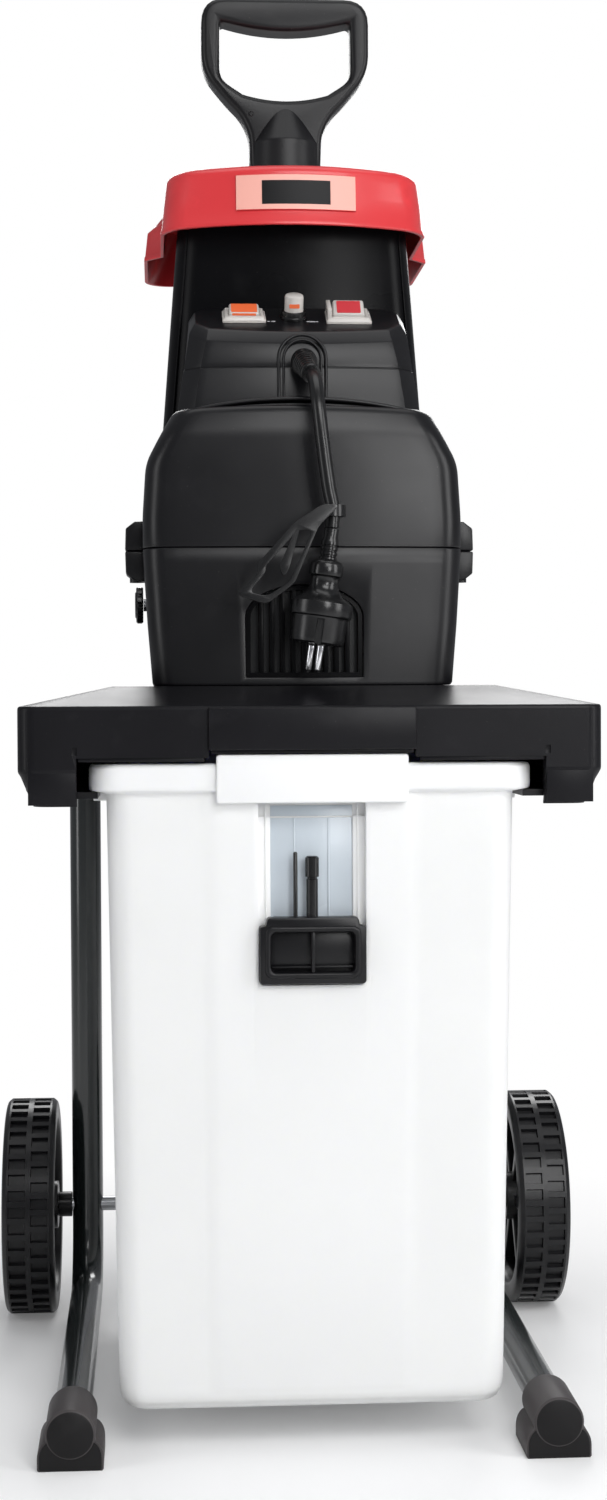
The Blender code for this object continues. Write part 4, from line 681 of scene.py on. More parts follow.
def deck():
    """A tray turned over: plateau, hipped slopes, skirt with a raised brow, brackets at its corners."""
    low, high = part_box("deck_shell")
    half = high.x
    front = low.y + 0.004
    back = high.y
    foot = low.z
    edge, chamfer_z = 0.517, 0.473
    levels = [(0.137, -0.165, 0.195, 0.008, high.z), (half, front, back, 0.012, edge),
              (half, front, back, 0.012, chamfer_z), (half - 0.010, front + 0.010, back - 0.010, 0.012, foot)]
    outer = soften(levels, [0.0, 0.0022, 0.0015, 0.0], 3)
    crown = (0.1355, -0.1635, 0.1935, 0.008, high.z)
    outer = [crown] + outer
    inner = [(h - DECK_WALL, f + DECK_WALL, b - DECK_WALL, max(c - DECK_WALL, 0.003), z)
             for h, f, b, c, z in levels]
    inner = [inner[3], inner[2], (*inner[1][:4], edge - DECK_WALL), (*inner[0][:4], high.z - DECK_WALL)]
    loops = [plan_loop(*level[:5], arc=12, front_points=2) for level in outer + inner]
    shell = loft("deck", loops, "deck_plastic", "machine", ["deck_shell"])
    block("deck_brow", (-BROW_HALF, low.y, BROW_FOOT), (BROW_HALF, front + 0.003, 0.5162), "deck_plastic",
          "machine", edge=0.0010, segments=3)
    cuts = [tool("skirt_cut", box_loops((-0.160, front - 0.02, 0.40), (0.160, front + 0.06, 0.482))),
            tool("brow_cut", box_loops((-BROW_HALF, front - 0.02, 0.40),
                                       (BROW_HALF, front + 0.06, BROW_FOOT))), chute(0.50, 0.56)]
    carve(shell, "DIFFERENCE", cuts)
    for sign in (-1, 1):
        steps = [(0.1595, 0.4895), (0.163, 0.4895), (0.163, 0.484), (0.1595, 0.484)]
        notch = tool("notch", prism_loops([(sign * x, z) for x, z in steps], front - 0.01, front + 0.0016))
        scoop = [(half + 0.01, 0.4715), (half - 0.001, 0.4715), (half - 0.0045, 0.466),
                 (half - 0.0055, 0.4600), (half - 0.0085, 0.4555), (half - 0.0085, 0.44),
                 (half + 0.01, 0.44)]
        scoop = tool("scoop", prism_loops([(sign * x, z) for x, z in scoop], front - 0.01, front + 0.020))
        carve(shell, "DIFFERENCE", [notch, scoop])
    soft_edges(shell, 0.0008, 2, 38.0)
    for face in shell.data.polygons:
        if face.area > 0.00003:
            face.use_smooth = False
    twin_blocks("deck_bracket_%s", (BRACKET_X, front + 0.0004, 0.4505), (0.1925, front + 0.0010, 0.4795),
                "deck_plastic", "machine", 0.0002)
    twin_blocks("deck_edge_strip_%s", (BRACKET_X, front + 0.004, 0.4600), (0.1645, front + 0.018, 0.4805),
                "deck_plastic", "machine", 0.0004)
    twin_blocks("skirt_lip_%s", (0.0735, front + 0.0012, 0.4795), (0.1590, front + 0.004, 0.4822),
                "deck_plastic", "machine", 0.0004)
    block("brow_lip", (-0.0690, front + 0.0002, 0.4848), (0.0690, front + 0.003, 0.4874), "deck_plastic",
          "machine", edge=0.0004)
    inside = half - DECK_WALL
    for row in range(5):
        y = -0.12 + row * 0.07
        twin_blocks("deck_rib_%%s_%d" % row, (inside - 0.004, y - 0.0012, 0.4765),
                    (inside + 0.0005, y + 0.0012, 0.5110), "deck_plastic", "machine", 0.0003)


# Collection box and latch

WALL_FOOT = 0.036
PANEL_HALF, PANEL_EDGE_WIDTH, PANEL_OUT = 0.0700, 0.0030, 0.0011
POCKET_HALF, POCKET_LOW, PAD_LOW = 0.0370, 0.3255, 0.451
POCKET_BACK = -0.2195


def collection_box():
    """A thin tapered tub with a rim, a shallow raised front panel, a pad and the latch's pocket."""
    foot_z, rim_low, rim_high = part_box("collection_box")[0].z, 0.459, 0.478
    front, back, corner, wall = -0.230, 0.124, 0.017, 0.0028

    def panel(x):
        share = clamp((PANEL_HALF - abs(x)) / PANEL_EDGE_WIDTH)
        return PANEL_OUT * share * share * (3 - 2 * share)

    def level(half, lower, upper, radius, z, relief=None):
        return plan_loop(half, lower, upper, radius, z, arc=8, front_points=54, relief=relief)

    def at(z):
        share = (z - WALL_FOOT) / (rim_low - WALL_FOOT)
        return 0.134 + 0.0065 * share, front + 0.008 * (1 - share), back - 0.008 * (1 - share)

    loops = []
    for shrink, z in ((0.0140, foot_z), (0.0098, foot_z + 0.0005), (0.0062, foot_z + 0.0021),
                      (0.0034, foot_z + 0.0046), (0.0014, foot_z + 0.0080), (0.0003, foot_z + 0.0118)):
        half, lower, upper = at(WALL_FOOT)
        loops.append(level(half - shrink, lower + shrink, upper - shrink, corner - shrink * 0.6, z))
    for z, relief in ((foot_z + 0.0150, None), (foot_z + 0.0180, panel), (0.150, panel), (0.250, panel),
                      (0.350, panel), (0.440, panel), (0.4525, panel), (0.4575, None)):
        half, lower, upper = at(z)
        loops.append(level(half, lower, upper, corner, z, relief))
    for half, out, z in ((0.1490, 0.0030, rim_low), (0.1512, 0.0042, rim_low + 0.0003),
                         (0.1523, 0.0050, rim_low + 0.0014), (0.1525, 0.0050, rim_low + 0.004),
                         (0.1525, 0.0050, rim_high - 0.0035), (0.1515, 0.0042, rim_high - 0.0008),
                         (0.1495, 0.0025, rim_high)):
        loops.append(level(half, front - out, back + out, corner + 0.004, z))
    for z in (rim_high, 0.450, WALL_FOOT):
        half, lower, upper = at(min(z, rim_low))
        loops.append(level(half - wall, lower + wall, upper - wall, corner - wall, z))
    half, lower, upper = at(WALL_FOOT)
    loops.append(level(half - 0.008, lower + 0.008, upper - 0.008, corner - 0.006, foot_z + wall))
    box = loft("box_shell", loops, "white_plastic", "box", ["collection_box"], sharp=40.0)
    back_wall = tool("pocket_wall", box_loops((-POCKET_HALF - wall, front + 0.0014, POCKET_LOW - wall),
                                              (POCKET_HALF + wall, POCKET_BACK + wall, rim_high - 0.001)))
    carve(box, "UNION", [back_wall])
    outer = rounded_rect(POCKET_HALF, (PAD_LOW - POCKET_LOW) / 2 + 0.01, 0.004,
                         (0.0, (PAD_LOW + POCKET_LOW) / 2 + 0.01))
    carve(box, "DIFFERENCE", [
        tool("pocket", prism_loops(outer, -0.26, -0.2217)),
        tool("window", box_loops((-0.0285, -0.26, POCKET_LOW + 0.003), (0.0285, POCKET_BACK, 0.449))),
        tool("channel", box_loops((-POCKET_HALF, -0.2310, PAD_LOW - 0.01), (POCKET_HALF, POCKET_BACK, 0.50))),
    ])
    soft_edges(box, 0.0005, 2, 50.0)
    block("window_pane", (-0.0282, -0.2198, POCKET_LOW + 0.0035), (0.0282, -0.2190, 0.4485), "pocket",
          "box", edge=0.0002)
    block("window_sill", (-0.0282, -0.2206, 0.4400), (0.0282, -0.2194, 0.4412), "white_plastic", "box",
          edge=0.0003)
    twin_blocks("window_rib_%s", (0.0112, -0.2203, POCKET_LOW + 0.0035), (0.0124, -0.2194, 0.4398),
                "pocket", "box", 0.0003)
    twin_blocks("pocket_rib_%s", (0.0312, -0.2226, POCKET_LOW + 0.004), (0.0322, -0.2212, 0.449),
                "white_plastic", "box", 0.0003)
    pad = loft("box_pad", prism_loops(rounded_rect(0.0655, 0.0165, 0.0022, (0.0, 0.4675)), -0.2385, -0.2290),
               "white_plastic", "box")
    carve(pad, "DIFFERENCE", [tool("pad_channel", box_loops((-POCKET_HALF, -0.2312, PAD_LOW - 0.01),
                                                            (POCKET_HALF, POCKET_BACK, 0.50)))])
    soft_edges(pad, 0.0012, 3)
    for row, y in enumerate((-0.16, -0.05, 0.06)):
        twin_blocks("rim_rib_%%s_%d" % row, (0.1400, y - 0.001, 0.4500), (0.1508, y + 0.001, 0.4592),
                    "white_plastic", "box", 0.0003)


def latch():
    """A sliding block with a finger recess behind a raised ring, and stepped top corners."""
    low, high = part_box("box_latch")
    centre = (low + high) / 2
    front = low.y
    half_x, half_z = (high.x - low.x) / 2, (high.z - low.z) / 2
    outline = [(half_x - 0.0015, -half_z), (half_x, -half_z + 0.0015), (half_x, half_z - 0.0065),
               (half_x - 0.0045, half_z - 0.0055), (half_x - 0.0050, half_z - 0.0015),
               (half_x - 0.0065, half_z)]
    outline = [(u, centre.z + v) for u, v in mirrored(outline)]
    body = loft("latch_block", prism_loops(outline, front + 0.0012, high.y), "black_plastic", "latch",
                ["box_latch"])
    soft_edges(body, 0.0010, 2)
    middle = centre.z - 0.001
    recess = rounded_rect(0.0290, 0.0140, 0.0040, (0.0, middle))
    carve(body, "DIFFERENCE", [tool("recess", prism_loops(recess, front - 0.01, front + 0.0100))])
    steps = ((0.0330, 0.0180, 0.0055, 0.0014), (0.0322, 0.0172, 0.0050, 0.0003),
             (0.0314, 0.0164, 0.0046, 0.0), (0.0302, 0.0152, 0.0044, 0.0), (0.0294, 0.0144, 0.0042, 0.0004),
             (0.0289, 0.0139, 0.0040, 0.0016), (0.0284, 0.0134, 0.0040, 0.0098))
    loops = [[on_axis("Y", front + depth, u, v) for u, v in rounded_rect(a, b, c, (0.0, middle))]
             for a, b, c, depth in steps]
    loops += [[on_axis("Y", front + 0.0098, u, v) for u, v in rounded_rect(0.0330, 0.0180, 0.0055,
                                                                           (0.0, middle))]]
    loft("latch_ring", loops, "black_plastic", "latch", ring=True, sharp=45.0)
    block("latch_rib", (-0.0012, front + 0.0010, middle - 0.0138), (0.0012, front + 0.0104, middle + 0.0138),
          "black_plastic", "latch", edge=0.0005)
    block("latch_floor", (-0.0286, front + 0.0092, middle - 0.0136),
          (0.0286, front + 0.0101, middle + 0.0136), "black_plastic", "latch", edge=0.0002)
    block("latch_shelf", (-0.0282, front + 0.0060, middle - 0.0112),
          (0.0282, front + 0.0098, middle - 0.0098), "black_plastic", "latch", edge=0.0003)
    for name in ("thin", "thick"):
        node = "latch_rod_" + name
        rod_low, rod_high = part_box(node)
        x, y = (rod_low.x + rod_high.x) / 2, (rod_low.y + rod_high.y) / 2
        widest = (rod_high.x - rod_low.x) / 2
        if name == "thin":
            profile = [(widest, rod_low.z - 0.001), (widest, rod_high.z - 0.001), (widest * 0.6, rod_high.z)]
        else:
            stem = widest - 0.00075
            neck = rod_high.z - 0.016
            profile = [(stem, rod_low.z - 0.001), (stem, neck), (stem * 0.86, neck + 0.0006),
                       (stem * 0.86, neck + 0.0014), (widest, neck + 0.002), (widest, rod_high.z - 0.0012),
                       (widest - 0.0012, rod_high.z)]
        loft("rod_" + name, turned_loops(profile, "Z", (x, y), 28), "soft_black", "latch", [node])


# Motor covers

COVER_SEAM = 0.630
PARTING = 0.0006
COVER_FRONT, COVER_BACK = -0.156, 0.170
COVER_HALF = 0.115
COVER_WALL = 0.003
COVER_BOW = 0.006


def arch(loop, half, drop):
    """Lowers a loop towards its sides, so that its front edge rises in the middle."""
    return [point - Vector((0.0, 0.0, drop * min(1.0, (point.x / half) ** 2))) for point in loop]


def cover_loop(half, z, front_inset=0.0, back_inset=0.0, corner=0.016):
    return plan_loop(half, COVER_FRONT + front_inset, COVER_BACK - back_inset, corner, z, bow=COVER_BOW,
                     arc=7, front_points=20)


def motor_cover_lower():
    base, wide = 0.1085, COVER_HALF
    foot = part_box("motor_cover_lower")[0].z
    rows = [(base - 0.0015, foot, 0.0), (base, foot + 0.0022, 0.0), (0.1118, 0.575, 0.0),
            (wide - 0.0006, COVER_SEAM - 0.012, 0.0), (wide, COVER_SEAM - 0.0010, 0.0),
            (wide - 0.0006, COVER_SEAM - PARTING / 2, 0.0006)]
    outer = [cover_loop(half - inset, z, inset, inset) for half, z, inset in rows]
    inner = [cover_loop(half - COVER_WALL, z, COVER_WALL, COVER_WALL, 0.013)
             for half, z in ((wide, COVER_SEAM - PARTING / 2), (base, foot + COVER_WALL))]
    cover = loft("cover_lower", outer + inner, "black_plastic", "machine", ["motor_cover_lower"])
    outline = arch_outline(0.042, 0.537, 0.580, 0.023)
    carve(cover, "DIFFERENCE", [
        chute(foot - 0.01, foot + 0.01),
        tool("grille_hole", prism_loops(outline, -0.19, -0.14)),
    ])
    soft_edges(cover, 0.0007, 2, 50.0)
    ears("lower", COVER_SEAM - 0.022, COVER_SEAM - PARTING / 2, -1)


def arch_outline(half, low, side_top, rise, steps=14):
    """An upright arch: straight sides up to side_top, then half an ellipse."""
    points = [(half, low)] + arc_line((0.0, side_top), (half, rise), 0.0, pi / 2, steps)
    points[-1] = (0.0, points[-1][1])
    return mirrored(points)


def ears(which, low, high, slope):
    """Screw ears with a chamfered end; the lower ones also get a boss and a sunk screw."""
    for side, sign in SIDES:
        root, out = 0.1105, 0.1280
        if slope < 0:
            points = [(root, low), (out - 0.007, low + 0.0005), (out - 0.0005, low + 0.0055), (out, high),
                      (root, high)]
        else:
            points = [(root, low), (out, low), (out - 0.0005, high - 0.0055), (out - 0.007, high - 0.0005),
                      (root, high)]
        name = "%s_ear_%s" % (which, side)
        ear = loft(name, prism_loops([(sign * x, z) for x, z in points], -0.1138, -0.0842), "black_plastic",
                   "machine")
        soft_edges(ear, 0.0012, 3)
        if slope < 0:
            ring = ((0.0030, low - 0.0004), (0.0048, low - 0.0004), (0.0048, low + 0.0030),
                    (0.0030, low + 0.0030))
            loft(name + "_boss", turned_loops(ring, "Z", (sign * 0.1200, -0.099), 24), "black_plastic",
                 "machine", ring=True)
            screw = ((0.0001, low + 0.0002), (0.0029, low + 0.0002), (0.0029, low + 0.003),
                     (0.0001, low + 0.003))
            loft(name + "_screw", turned_loops(screw, "Z", (sign * 0.1200, -0.099), 24), "steel", "machine")


def motor_cover_upper():
    wide, shoulder, top = COVER_HALF, 0.1125, 0.089
    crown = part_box("motor_cover_upper")[1].z
    levels = [(wide - 0.0006, COVER_SEAM + PARTING / 2, 0.0), (wide, COVER_SEAM + 0.0012, 0.0),
              (wide, 0.652, 0.0), (shoulder, 0.691, 0.0), (0.1015, 0.7125, 0.0010),
              (top + 0.0030, crown - 0.0005, 0.0075), (top - 0.0150, crown, 0.0240)]
    levels = soften(levels, [0.0, 0.0, 0.006, 0.008, 0.006, 0.007, 0.0], 5)
    loops = []
    for half, z, inset in levels:
        share = clamp((z - 0.700) / 0.032)
        loops.append(arch(cover_loop(half, z, inset * 0.75, inset), 0.1, 0.0030 * share * share))
    under = [(top - 0.0180, crown - COVER_WALL, 0.027), (shoulder - COVER_WALL - 0.004, 0.690, COVER_WALL),
             (wide - COVER_WALL, 0.650, COVER_WALL), (wide - COVER_WALL, COVER_SEAM + PARTING / 2,
                                                      COVER_WALL)]
    loops += [cover_loop(half, z, inset, inset, 0.013) for half, z, inset in under]
    cover = loft("cover_upper", loops, "black_plastic", "machine", ["motor_cover_upper"], sharp=40.0)
    hole = [plan_loop(half, -0.0483, 0.1503, 0.018, z, bow=0.014, arc=7, front_points=12)
            for half, z in ((0.1003, 0.690), (0.1003, 0.722), (0.0990, 0.745))]
    carve(cover, "DIFFERENCE", [tool("hopper_hole", hole)])
    ears("upper", COVER_SEAM + PARTING / 2, COVER_SEAM + 0.022, 1)
    for name, rise, radius, forward, reach in (("cover_ridge_high", 0.0120, 0.0016, -0.1390, 0.0880),
                                               ("cover_ridge_low", 0.0075, 0.0012, -0.1400, 0.0840)):
        tube(name, brow_line(reach, forward, 0.7255, rise), radius, "black_plastic", "machine", resolution=4)
    sections = []
    for x, y, z in brow_line(0.0880, -0.1385, 0.7265, 0.0120):
        sections.append([(x, y, z), (x * 0.995, -0.1180, z + 0.0008), (x * 0.995, -0.1180, z - 0.0012),
                         (x, y, z - 0.0014)])
    loft("cover_brim", sections, "black_plastic", "machine")


def brow_line(reach, forward, height, rise, steps=32):
    """A line across the cover's front, higher and further forward in the middle."""
    line = []
    for i in range(steps + 1):
        t = 2 * i / steps - 1
        line.append(Vector((reach * t, forward - 0.0045 * (1 - t * t), height + rise * (1 - t * t) ** 0.8)))
    return line


def vent_grille():
    """An arched frame with upright bars, sunk in the lower cover's front."""
    low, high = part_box("vent_grille")
    front = low.y
    half, base, side_top, rise = 0.0417, 0.5373, 0.580, 0.0227
    outer = arch_outline(half, base, side_top, rise, 16)
    shrink = 0.0032
    inner = arch_outline(half - shrink, base + shrink, side_top, rise - shrink, 16)
    loops = [[on_axis("Y", y, u, v) for u, v in outline] for outline, y in
             ((outer, front + 0.0004), (inner, front + 0.0002), (inner, high.y), (outer, high.y))]
    loft("grille_frame", loops, "hopper_plastic", "machine", ["vent_grille"], ring=True)
    bars = 9
    for i in range(bars):
        x = (half - shrink) * (2 * (i + 1) / (bars + 1) - 1)
        top = side_top + (rise - shrink) * sqrt(max(0.0, 1 - (x / (half - shrink)) ** 2)) + 0.001
        block("grille_bar_%d" % i, (x - 0.0017, front + 0.0008, base + 0.002),
              (x + 0.0017, high.y - 0.001, top), "hopper_plastic", "machine", edge=0.0006)
    back = arch_outline(half - 0.001, base + 0.001, side_top, rise - 0.001, 16)
    loft("grille_dark", prism_loops(back, high.y - 0.0008, high.y), "soft_black", "machine")


# Control housing

PANEL_EDGE = (-0.117, 0.790)
PANEL_BACK = (-0.0675, 0.816)
PANEL_SLOPE = (PANEL_BACK[1] - PANEL_EDGE[1]) / (PANEL_BACK[0] - PANEL_EDGE[0])
PANEL_ANGLE = atan2(PANEL_BACK[1] - PANEL_EDGE[1], PANEL_BACK[0] - PANEL_EDGE[0])
SWITCH_UP = 0.030
GLAND = Vector((0.0015, -0.128, 0.768))
HOUSING_BOW = 0.007


def panel_height(y):
    return PANEL_EDGE[1] + (y - PANEL_EDGE[0]) * PANEL_SLOPE


def panel_matrix(x):
    """The place of a switch on the panel, at x."""
    y = PANEL_EDGE[0] + SWITCH_UP * cos(PANEL_ANGLE)
    z = PANEL_EDGE[1] + SWITCH_UP * sin(PANEL_ANGLE)
    return Matrix.Translation((x, y, z)) @ Matrix.Rotation(PANEL_ANGLE, 4, "X")


def panel_piece(name, loops, x, look, body, replaced=(), ring=False):
    """Built lying flat about the switch's centre, then laid on the panel."""
    matrix = panel_matrix(x)
    return loft(name, [[matrix @ point for point in loop] for loop in loops], look, body, replaced, ring=ring)


def control_housing():
    """A box with cut corners, a parting seam, a chamfer along its top and a sloping panel."""
    corner = 0.012
    foot_z, seam, top_z = 0.7215, 0.7625, PANEL_EDGE[1]

    def at(z):
        share = (z - 0.7323) / (top_z - 0.7323)
        return 0.089 - 0.0085 * share, -0.121 + 0.004 * share

    def level(z, inset=0.0):
        half, front = at(z)
        return plan_loop(half - inset, front + inset, PANEL_BACK[0] - inset, corner, z, bow=HOUSING_BOW,
                         arc=1, front_points=24)

    loops = [level(foot_z), level(0.7323), level(seam - 0.0005), level(seam - 0.0002, 0.0007),
             level(seam + 0.0004, 0.0007), level(seam + 0.0007, 0.0003), level(seam + 0.004, 0.0003)]
    half, front = at(top_z)

    def sloped(shrink, lowered, cut):
        return plan_loop(half - shrink, front + shrink * 1.3, PANEL_BACK[0] - shrink * 0.4, cut,
                         lambda y: panel_height(y) - lowered, bow=HOUSING_BOW, arc=1, front_points=24)

    loops += [sloped(0.0003, 0.0070, corner), sloped(0.0008, 0.0061, corner), sloped(0.0040, 0.0011, 0.010),
              sloped(0.0050, 0.0002, 0.010), sloped(0.0060, 0.0, 0.010)]
    housing = loft("control_box", loops, "black_plastic", "machine", ["control_housing"], sharp=18.0)
    soft_edges(housing, 0.0006, 2, 22.0)
    for name, outer_half, depth in (("gland_arch_outer", 0.0172, 0.0013),
                                    ("gland_arch_inner", 0.0136, 0.0010)):
        path = arc_line((GLAND.x, GLAND.z + 0.001), (outer_half, outer_half), 0.0, pi, 24)
        path = [(path[0][0], 0.7380)] + path + [(path[-1][0], 0.7380)]
        points = []
        for x, z in path:
            near, front_y = at(z)
            points.append(Vector((x, front_y - HOUSING_BOW * (1 - (x / near) ** 2) - 0.0004, z)))
        tube(name, points, depth, "black_plastic", "machine", resolution=4)


def clear_frame(name, x, width, long, opening, height, node):
    """A snap-in frame: a low flange, a chamfered wall and a rim round the key."""
    half_w, half_l = width / 2, long / 2
    open_w, open_l = opening[0] / 2, opening[1] / 2
    steps = [(half_w, half_l, 0.0016, 0.0002), (half_w, half_l, 0.0016, 0.0016),
             (half_w - 0.0010, half_l - 0.0010, 0.0014, 0.0024),
             (half_w - 0.0020, half_l - 0.0020, 0.0012, height),
             (open_w + 0.0008, open_l + 0.0008, 0.0008, height), (open_w, open_l, 0.0006, height - 0.0008),
             (open_w, open_l, 0.0006, -0.004), (half_w - 0.0033, half_l - 0.0033, 0.0008, -0.004),
             (half_w - 0.0033, half_l - 0.0033, 0.0008, 0.0002)]
    loops = [[Vector((u, v, z)) for u, v in rounded_rect(a, b, c)] for a, b, c, z in steps]
    return panel_piece(name, loops, x, "clear", "machine", [node], ring=True)


def key_loops(width, long, front, back):
    """A wedge with rounded edges: its foot is in the frame and its face rises to the back."""
    half_w, half_l = width / 2, long / 2
    loops = []
    for share, cut in ((0.0, 0.0), (0.88, 0.0), (0.97, 0.0006), (1.0, 0.0014)):
        loop = []
        for u, v in rounded_rect(half_w - cut, half_l - cut, 0.0012, arc=4):
            height = front + (back - front) * (v + half_l) / (2 * half_l)
            loop.append(Vector((u, v, -0.003 + (height + 0.003) * share)))
        loops.append(loop)
    return loops


def window_loops(width, long, front, back, size, sink):
    """A coloured field just over the face of a key."""
    loops = []
    for lift in (-0.0006, sink):
        loop = []
        for u, v in rounded_rect(width / 2 * size[0], long / 2 * size[1], 0.0008, (0.0, -long * 0.03), arc=3):
            height = front + (back - front) * (v + long / 2) / long
            loop.append(Vector((u, v, height + lift)))
        loops.append(loop)
    return loops


def switches():
    main_x, selector_x, reset_x = 0.0380, -0.0395, -0.0025
    clear_frame("main_frame", main_x, 0.0335, 0.0265, (0.0241, 0.0172), 0.0045, "main_switch_frame")
    guard = [[Vector((u, v, z)) for u, v in rounded_rect(0.0016, 0.0112, 0.0007, (-0.0146, 0.0))]
             for z in (0.0010, 0.0108)]
    soft_edges(panel_piece("main_guard", guard, main_x, "clear", "machine"), 0.0005, 2)
    main_key, selector_key = (0.0233, 0.0148, 0.0060, 0.0125), (0.0223, 0.0128, 0.0062, 0.0095)
    panel_piece("main_key", key_loops(*main_key), main_x, "clear", "main_switch",
                ["main_switch_rocker"])
    panel_piece("main_key_window", window_loops(*main_key, (0.76, 0.78), 0.0003), main_x, "red_key",
                "main_switch")
    clear_frame("selector_rim", selector_x, 0.0320, 0.0240, (0.0231, 0.0152), 0.0045, "selector_frame")
    panel_piece("selector_key", key_loops(*selector_key), selector_x, "clear", "selector_switch",
                ["selector_rocker"])
    panel_piece("selector_key_window", window_loops(*selector_key, (0.86, 0.80), 0.0003), selector_x,
                "orange_key", "selector_switch")
    front_window = [[Vector((u, y, z)) for u, z in rounded_rect(0.0088, 0.0012, 0.0006, (0.0, 0.0044))]
                    for y in (-0.0066, -0.0062)]
    panel_piece("selector_key_front", front_window, selector_x, "orange_key", "selector_switch")
    matrix = panel_matrix(reset_x)

    def ring(profile):
        return [[matrix @ Vector((u, v, z)) for u, v in circle(radius, steps=44)] for radius, z in profile]

    collar = ((0.0075, -0.004), (0.0088, -0.004), (0.0100, 0.0003), (0.0100, 0.0020), (0.0092, 0.0028),
              (0.0090, 0.0060), (0.0085, 0.0065), (0.0078, 0.0065), (0.0075, 0.0060))
    loft("reset_ring", ring(collar), "soft_black", "machine", ["reset_collar"], ring=True)
    cap = ((0.0060, -0.003), (0.0070, -0.0028), (0.0070, 0.0160), (0.0066, 0.0174), (0.0056, 0.0180),
           (0.0001, 0.0180))
    loft("reset_cap", ring(cap), "clear", "reset", ["reset_button"])
    dot = [[Vector((u, y, z)) for u, z in rounded_rect(0.0038, 0.0015, 0.0008, (0.0, 0.0113))]
           for y in (-0.0073, -0.0060)]
    panel_piece("reset_dot", dot, reset_x, "orange_key", "reset")
    for row, (x, wide) in enumerate(((-0.0180, 0.0016), (-0.0215, 0.0010), (0.0100, 0.0034),
                                     (0.0145, 0.0008))):
        mark = [[Vector((u, v, z)) for u, v in rounded_rect(wide, 0.0006, 0.0003, (0.0, -0.0080), arc=2)]
                for z in (0.00005, 0.00022)]
        panel_piece("panel_mark_%d" % row, mark, x, "print", "machine")


# Hopper, red cap and plunger

THROAT_Y = 0.055
CAP_TOP, CAP_FOOT = 0.919, 0.873
CAP_FRONT, CAP_BACK = -0.059, 0.163
CAP_LEAN = 0.006
CAP_BOW = 0.028
CAP_CORNER = 0.020
LABEL_HALF = 0.0445


def hopper():
    low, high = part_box("hopper")
    wall = 0.0035
    levels = [(0.062, 0.009, 0.101, 0.008, low.z, 0.001), (0.100, -0.048, 0.150, 0.018, 0.722, 0.014),
              (0.085, -0.048, 0.150, 0.018, high.z, 0.014)]
    inner = [(h - wall, f + wall, b - wall, c - wall * 0.8, z, bow)
             for h, f, b, c, z, bow in reversed(levels)]
    outer = soften(levels, [0.0, 0.006, 0.0], 5)
    loops = [plan_loop(h, f, b, c, z, bow=bow, arc=8, front_points=20)
             for h, f, b, c, z, bow in outer + inner]
    loft("hopper_shell", loops, "hopper_plastic", "machine", ["hopper"], ring=True, sharp=30.0)
    for side, sign in SIDES:
        seam = []
        for i in range(13):
            share = i / 12
            half = 0.0968 + (0.0852 - 0.0968) * share
            seam.append(Vector((sign * (half - 0.0048), -0.0474, 0.735 + (high.z - 0.040 - 0.735) * share)))
        tube("hopper_seam_" + side, seam, 0.0008, "hopper_plastic", "machine", resolution=3)


def cap_depth(z):
    """How far down the cap z lies: 0 at its top and 1 at its foot."""
    return (CAP_TOP - z) / (CAP_TOP - CAP_FOOT)


def cap_half(z):
    """Half the width of the cap's front."""
    return 0.0955 + 0.0053 * cap_depth(z)


def cap_shoulder(z):
    """How much wider the cap is behind its front: the shoulder runs out towards the top."""
    return 0.0120 * clamp((0.9070 - z) / 0.0120) + 0.0008


def cap_loop(z, inset):
    """The cap's outline at z. Its front is narrower than the rest, behind a shoulder."""
    front, wide = cap_half(z) - inset, cap_half(z) + cap_shoulder(z) - inset
    return plan_loop(wide, CAP_FRONT - CAP_LEAN * cap_depth(z) + inset, CAP_BACK - inset,
                     CAP_CORNER - inset * 0.5, z, bow=CAP_BOW, arc=8, front_points=28,
                     narrow=(front / wide, 0.036, 0.052))


def hopper_cap():
    rows = [(CAP_TOP - 0.003, 0.003), (CAP_FOOT + 0.0004, 0.003), (CAP_FOOT, 0.0026), (CAP_FOOT, 0.0006),
            (CAP_FOOT + 0.0006, 0.0), (CAP_FOOT + 0.0030, 0.0), (CAP_FOOT + 0.0040, 0.0005), (0.8950, 0.0004),
            (0.9010, 0.0004), (0.9070, 0.0004)]
    rounding = 0.006
    for inward, up in arc_line((rounding, 0.0), (-rounding, rounding), 0.0, pi / 2, 6):
        rows.append((CAP_TOP - rounding + up, 0.0004 + inward))
    rows += [(CAP_TOP, 0.030)]
    cap = loft("red_cap", [cap_loop(z, inset) for z, inset in rows], "red_plastic", "machine",
               ["hopper_cap"], sharp=28.0)
    carve(cap, "DIFFERENCE", [tool("feed", box_loops((-0.058, 0.007, 0.90), (0.058, 0.103, 0.93)))])


def cap_front(x, z, out):
    """The y of the cap's front, or of what stands out from it."""
    return CAP_FRONT - CAP_LEAN * cap_depth(z) - CAP_BOW * (1 - (x / cap_half(z)) ** 2) - out


def spread(half, steps=24):
    """Even places from -half to half."""
    return [half * (2 * i / steps - 1) for i in range(steps + 1)]


def on_cap(name, half, low, high, near, far, look, replaced=()):
    """A field laid on the bowed front of the cap, with softened long edges."""
    rows = ((low, near), (low + 0.0004, far), (high - 0.0004, far), (high, near))
    sections = [[(x, cap_front(x, z, out), z) for z, out in rows] for x in spread(half)]
    return loft(name, sections, look, "machine", replaced)


def cap_label():
    """The pale field with its two edges, and the dark plate on it. Both are left bare."""
    low, high = 0.884, 0.911
    on_cap("label_field", LABEL_HALF, low, high, 0.0001, 0.0010, "label", ["cap_label"])
    for name, z in (("label_edge_low", low + 0.0005), ("label_edge_high", high - 0.0005)):
        path = [Vector((x, cap_front(x, z, 0.0004), z)) for x in spread(LABEL_HALF)]
        tube(name, path, 0.0006, "red_plastic", "machine", resolution=3)
    on_cap("label_plate", 0.0255, low + 0.0040, high - 0.0045, 0.0008, 0.0012, "plate")


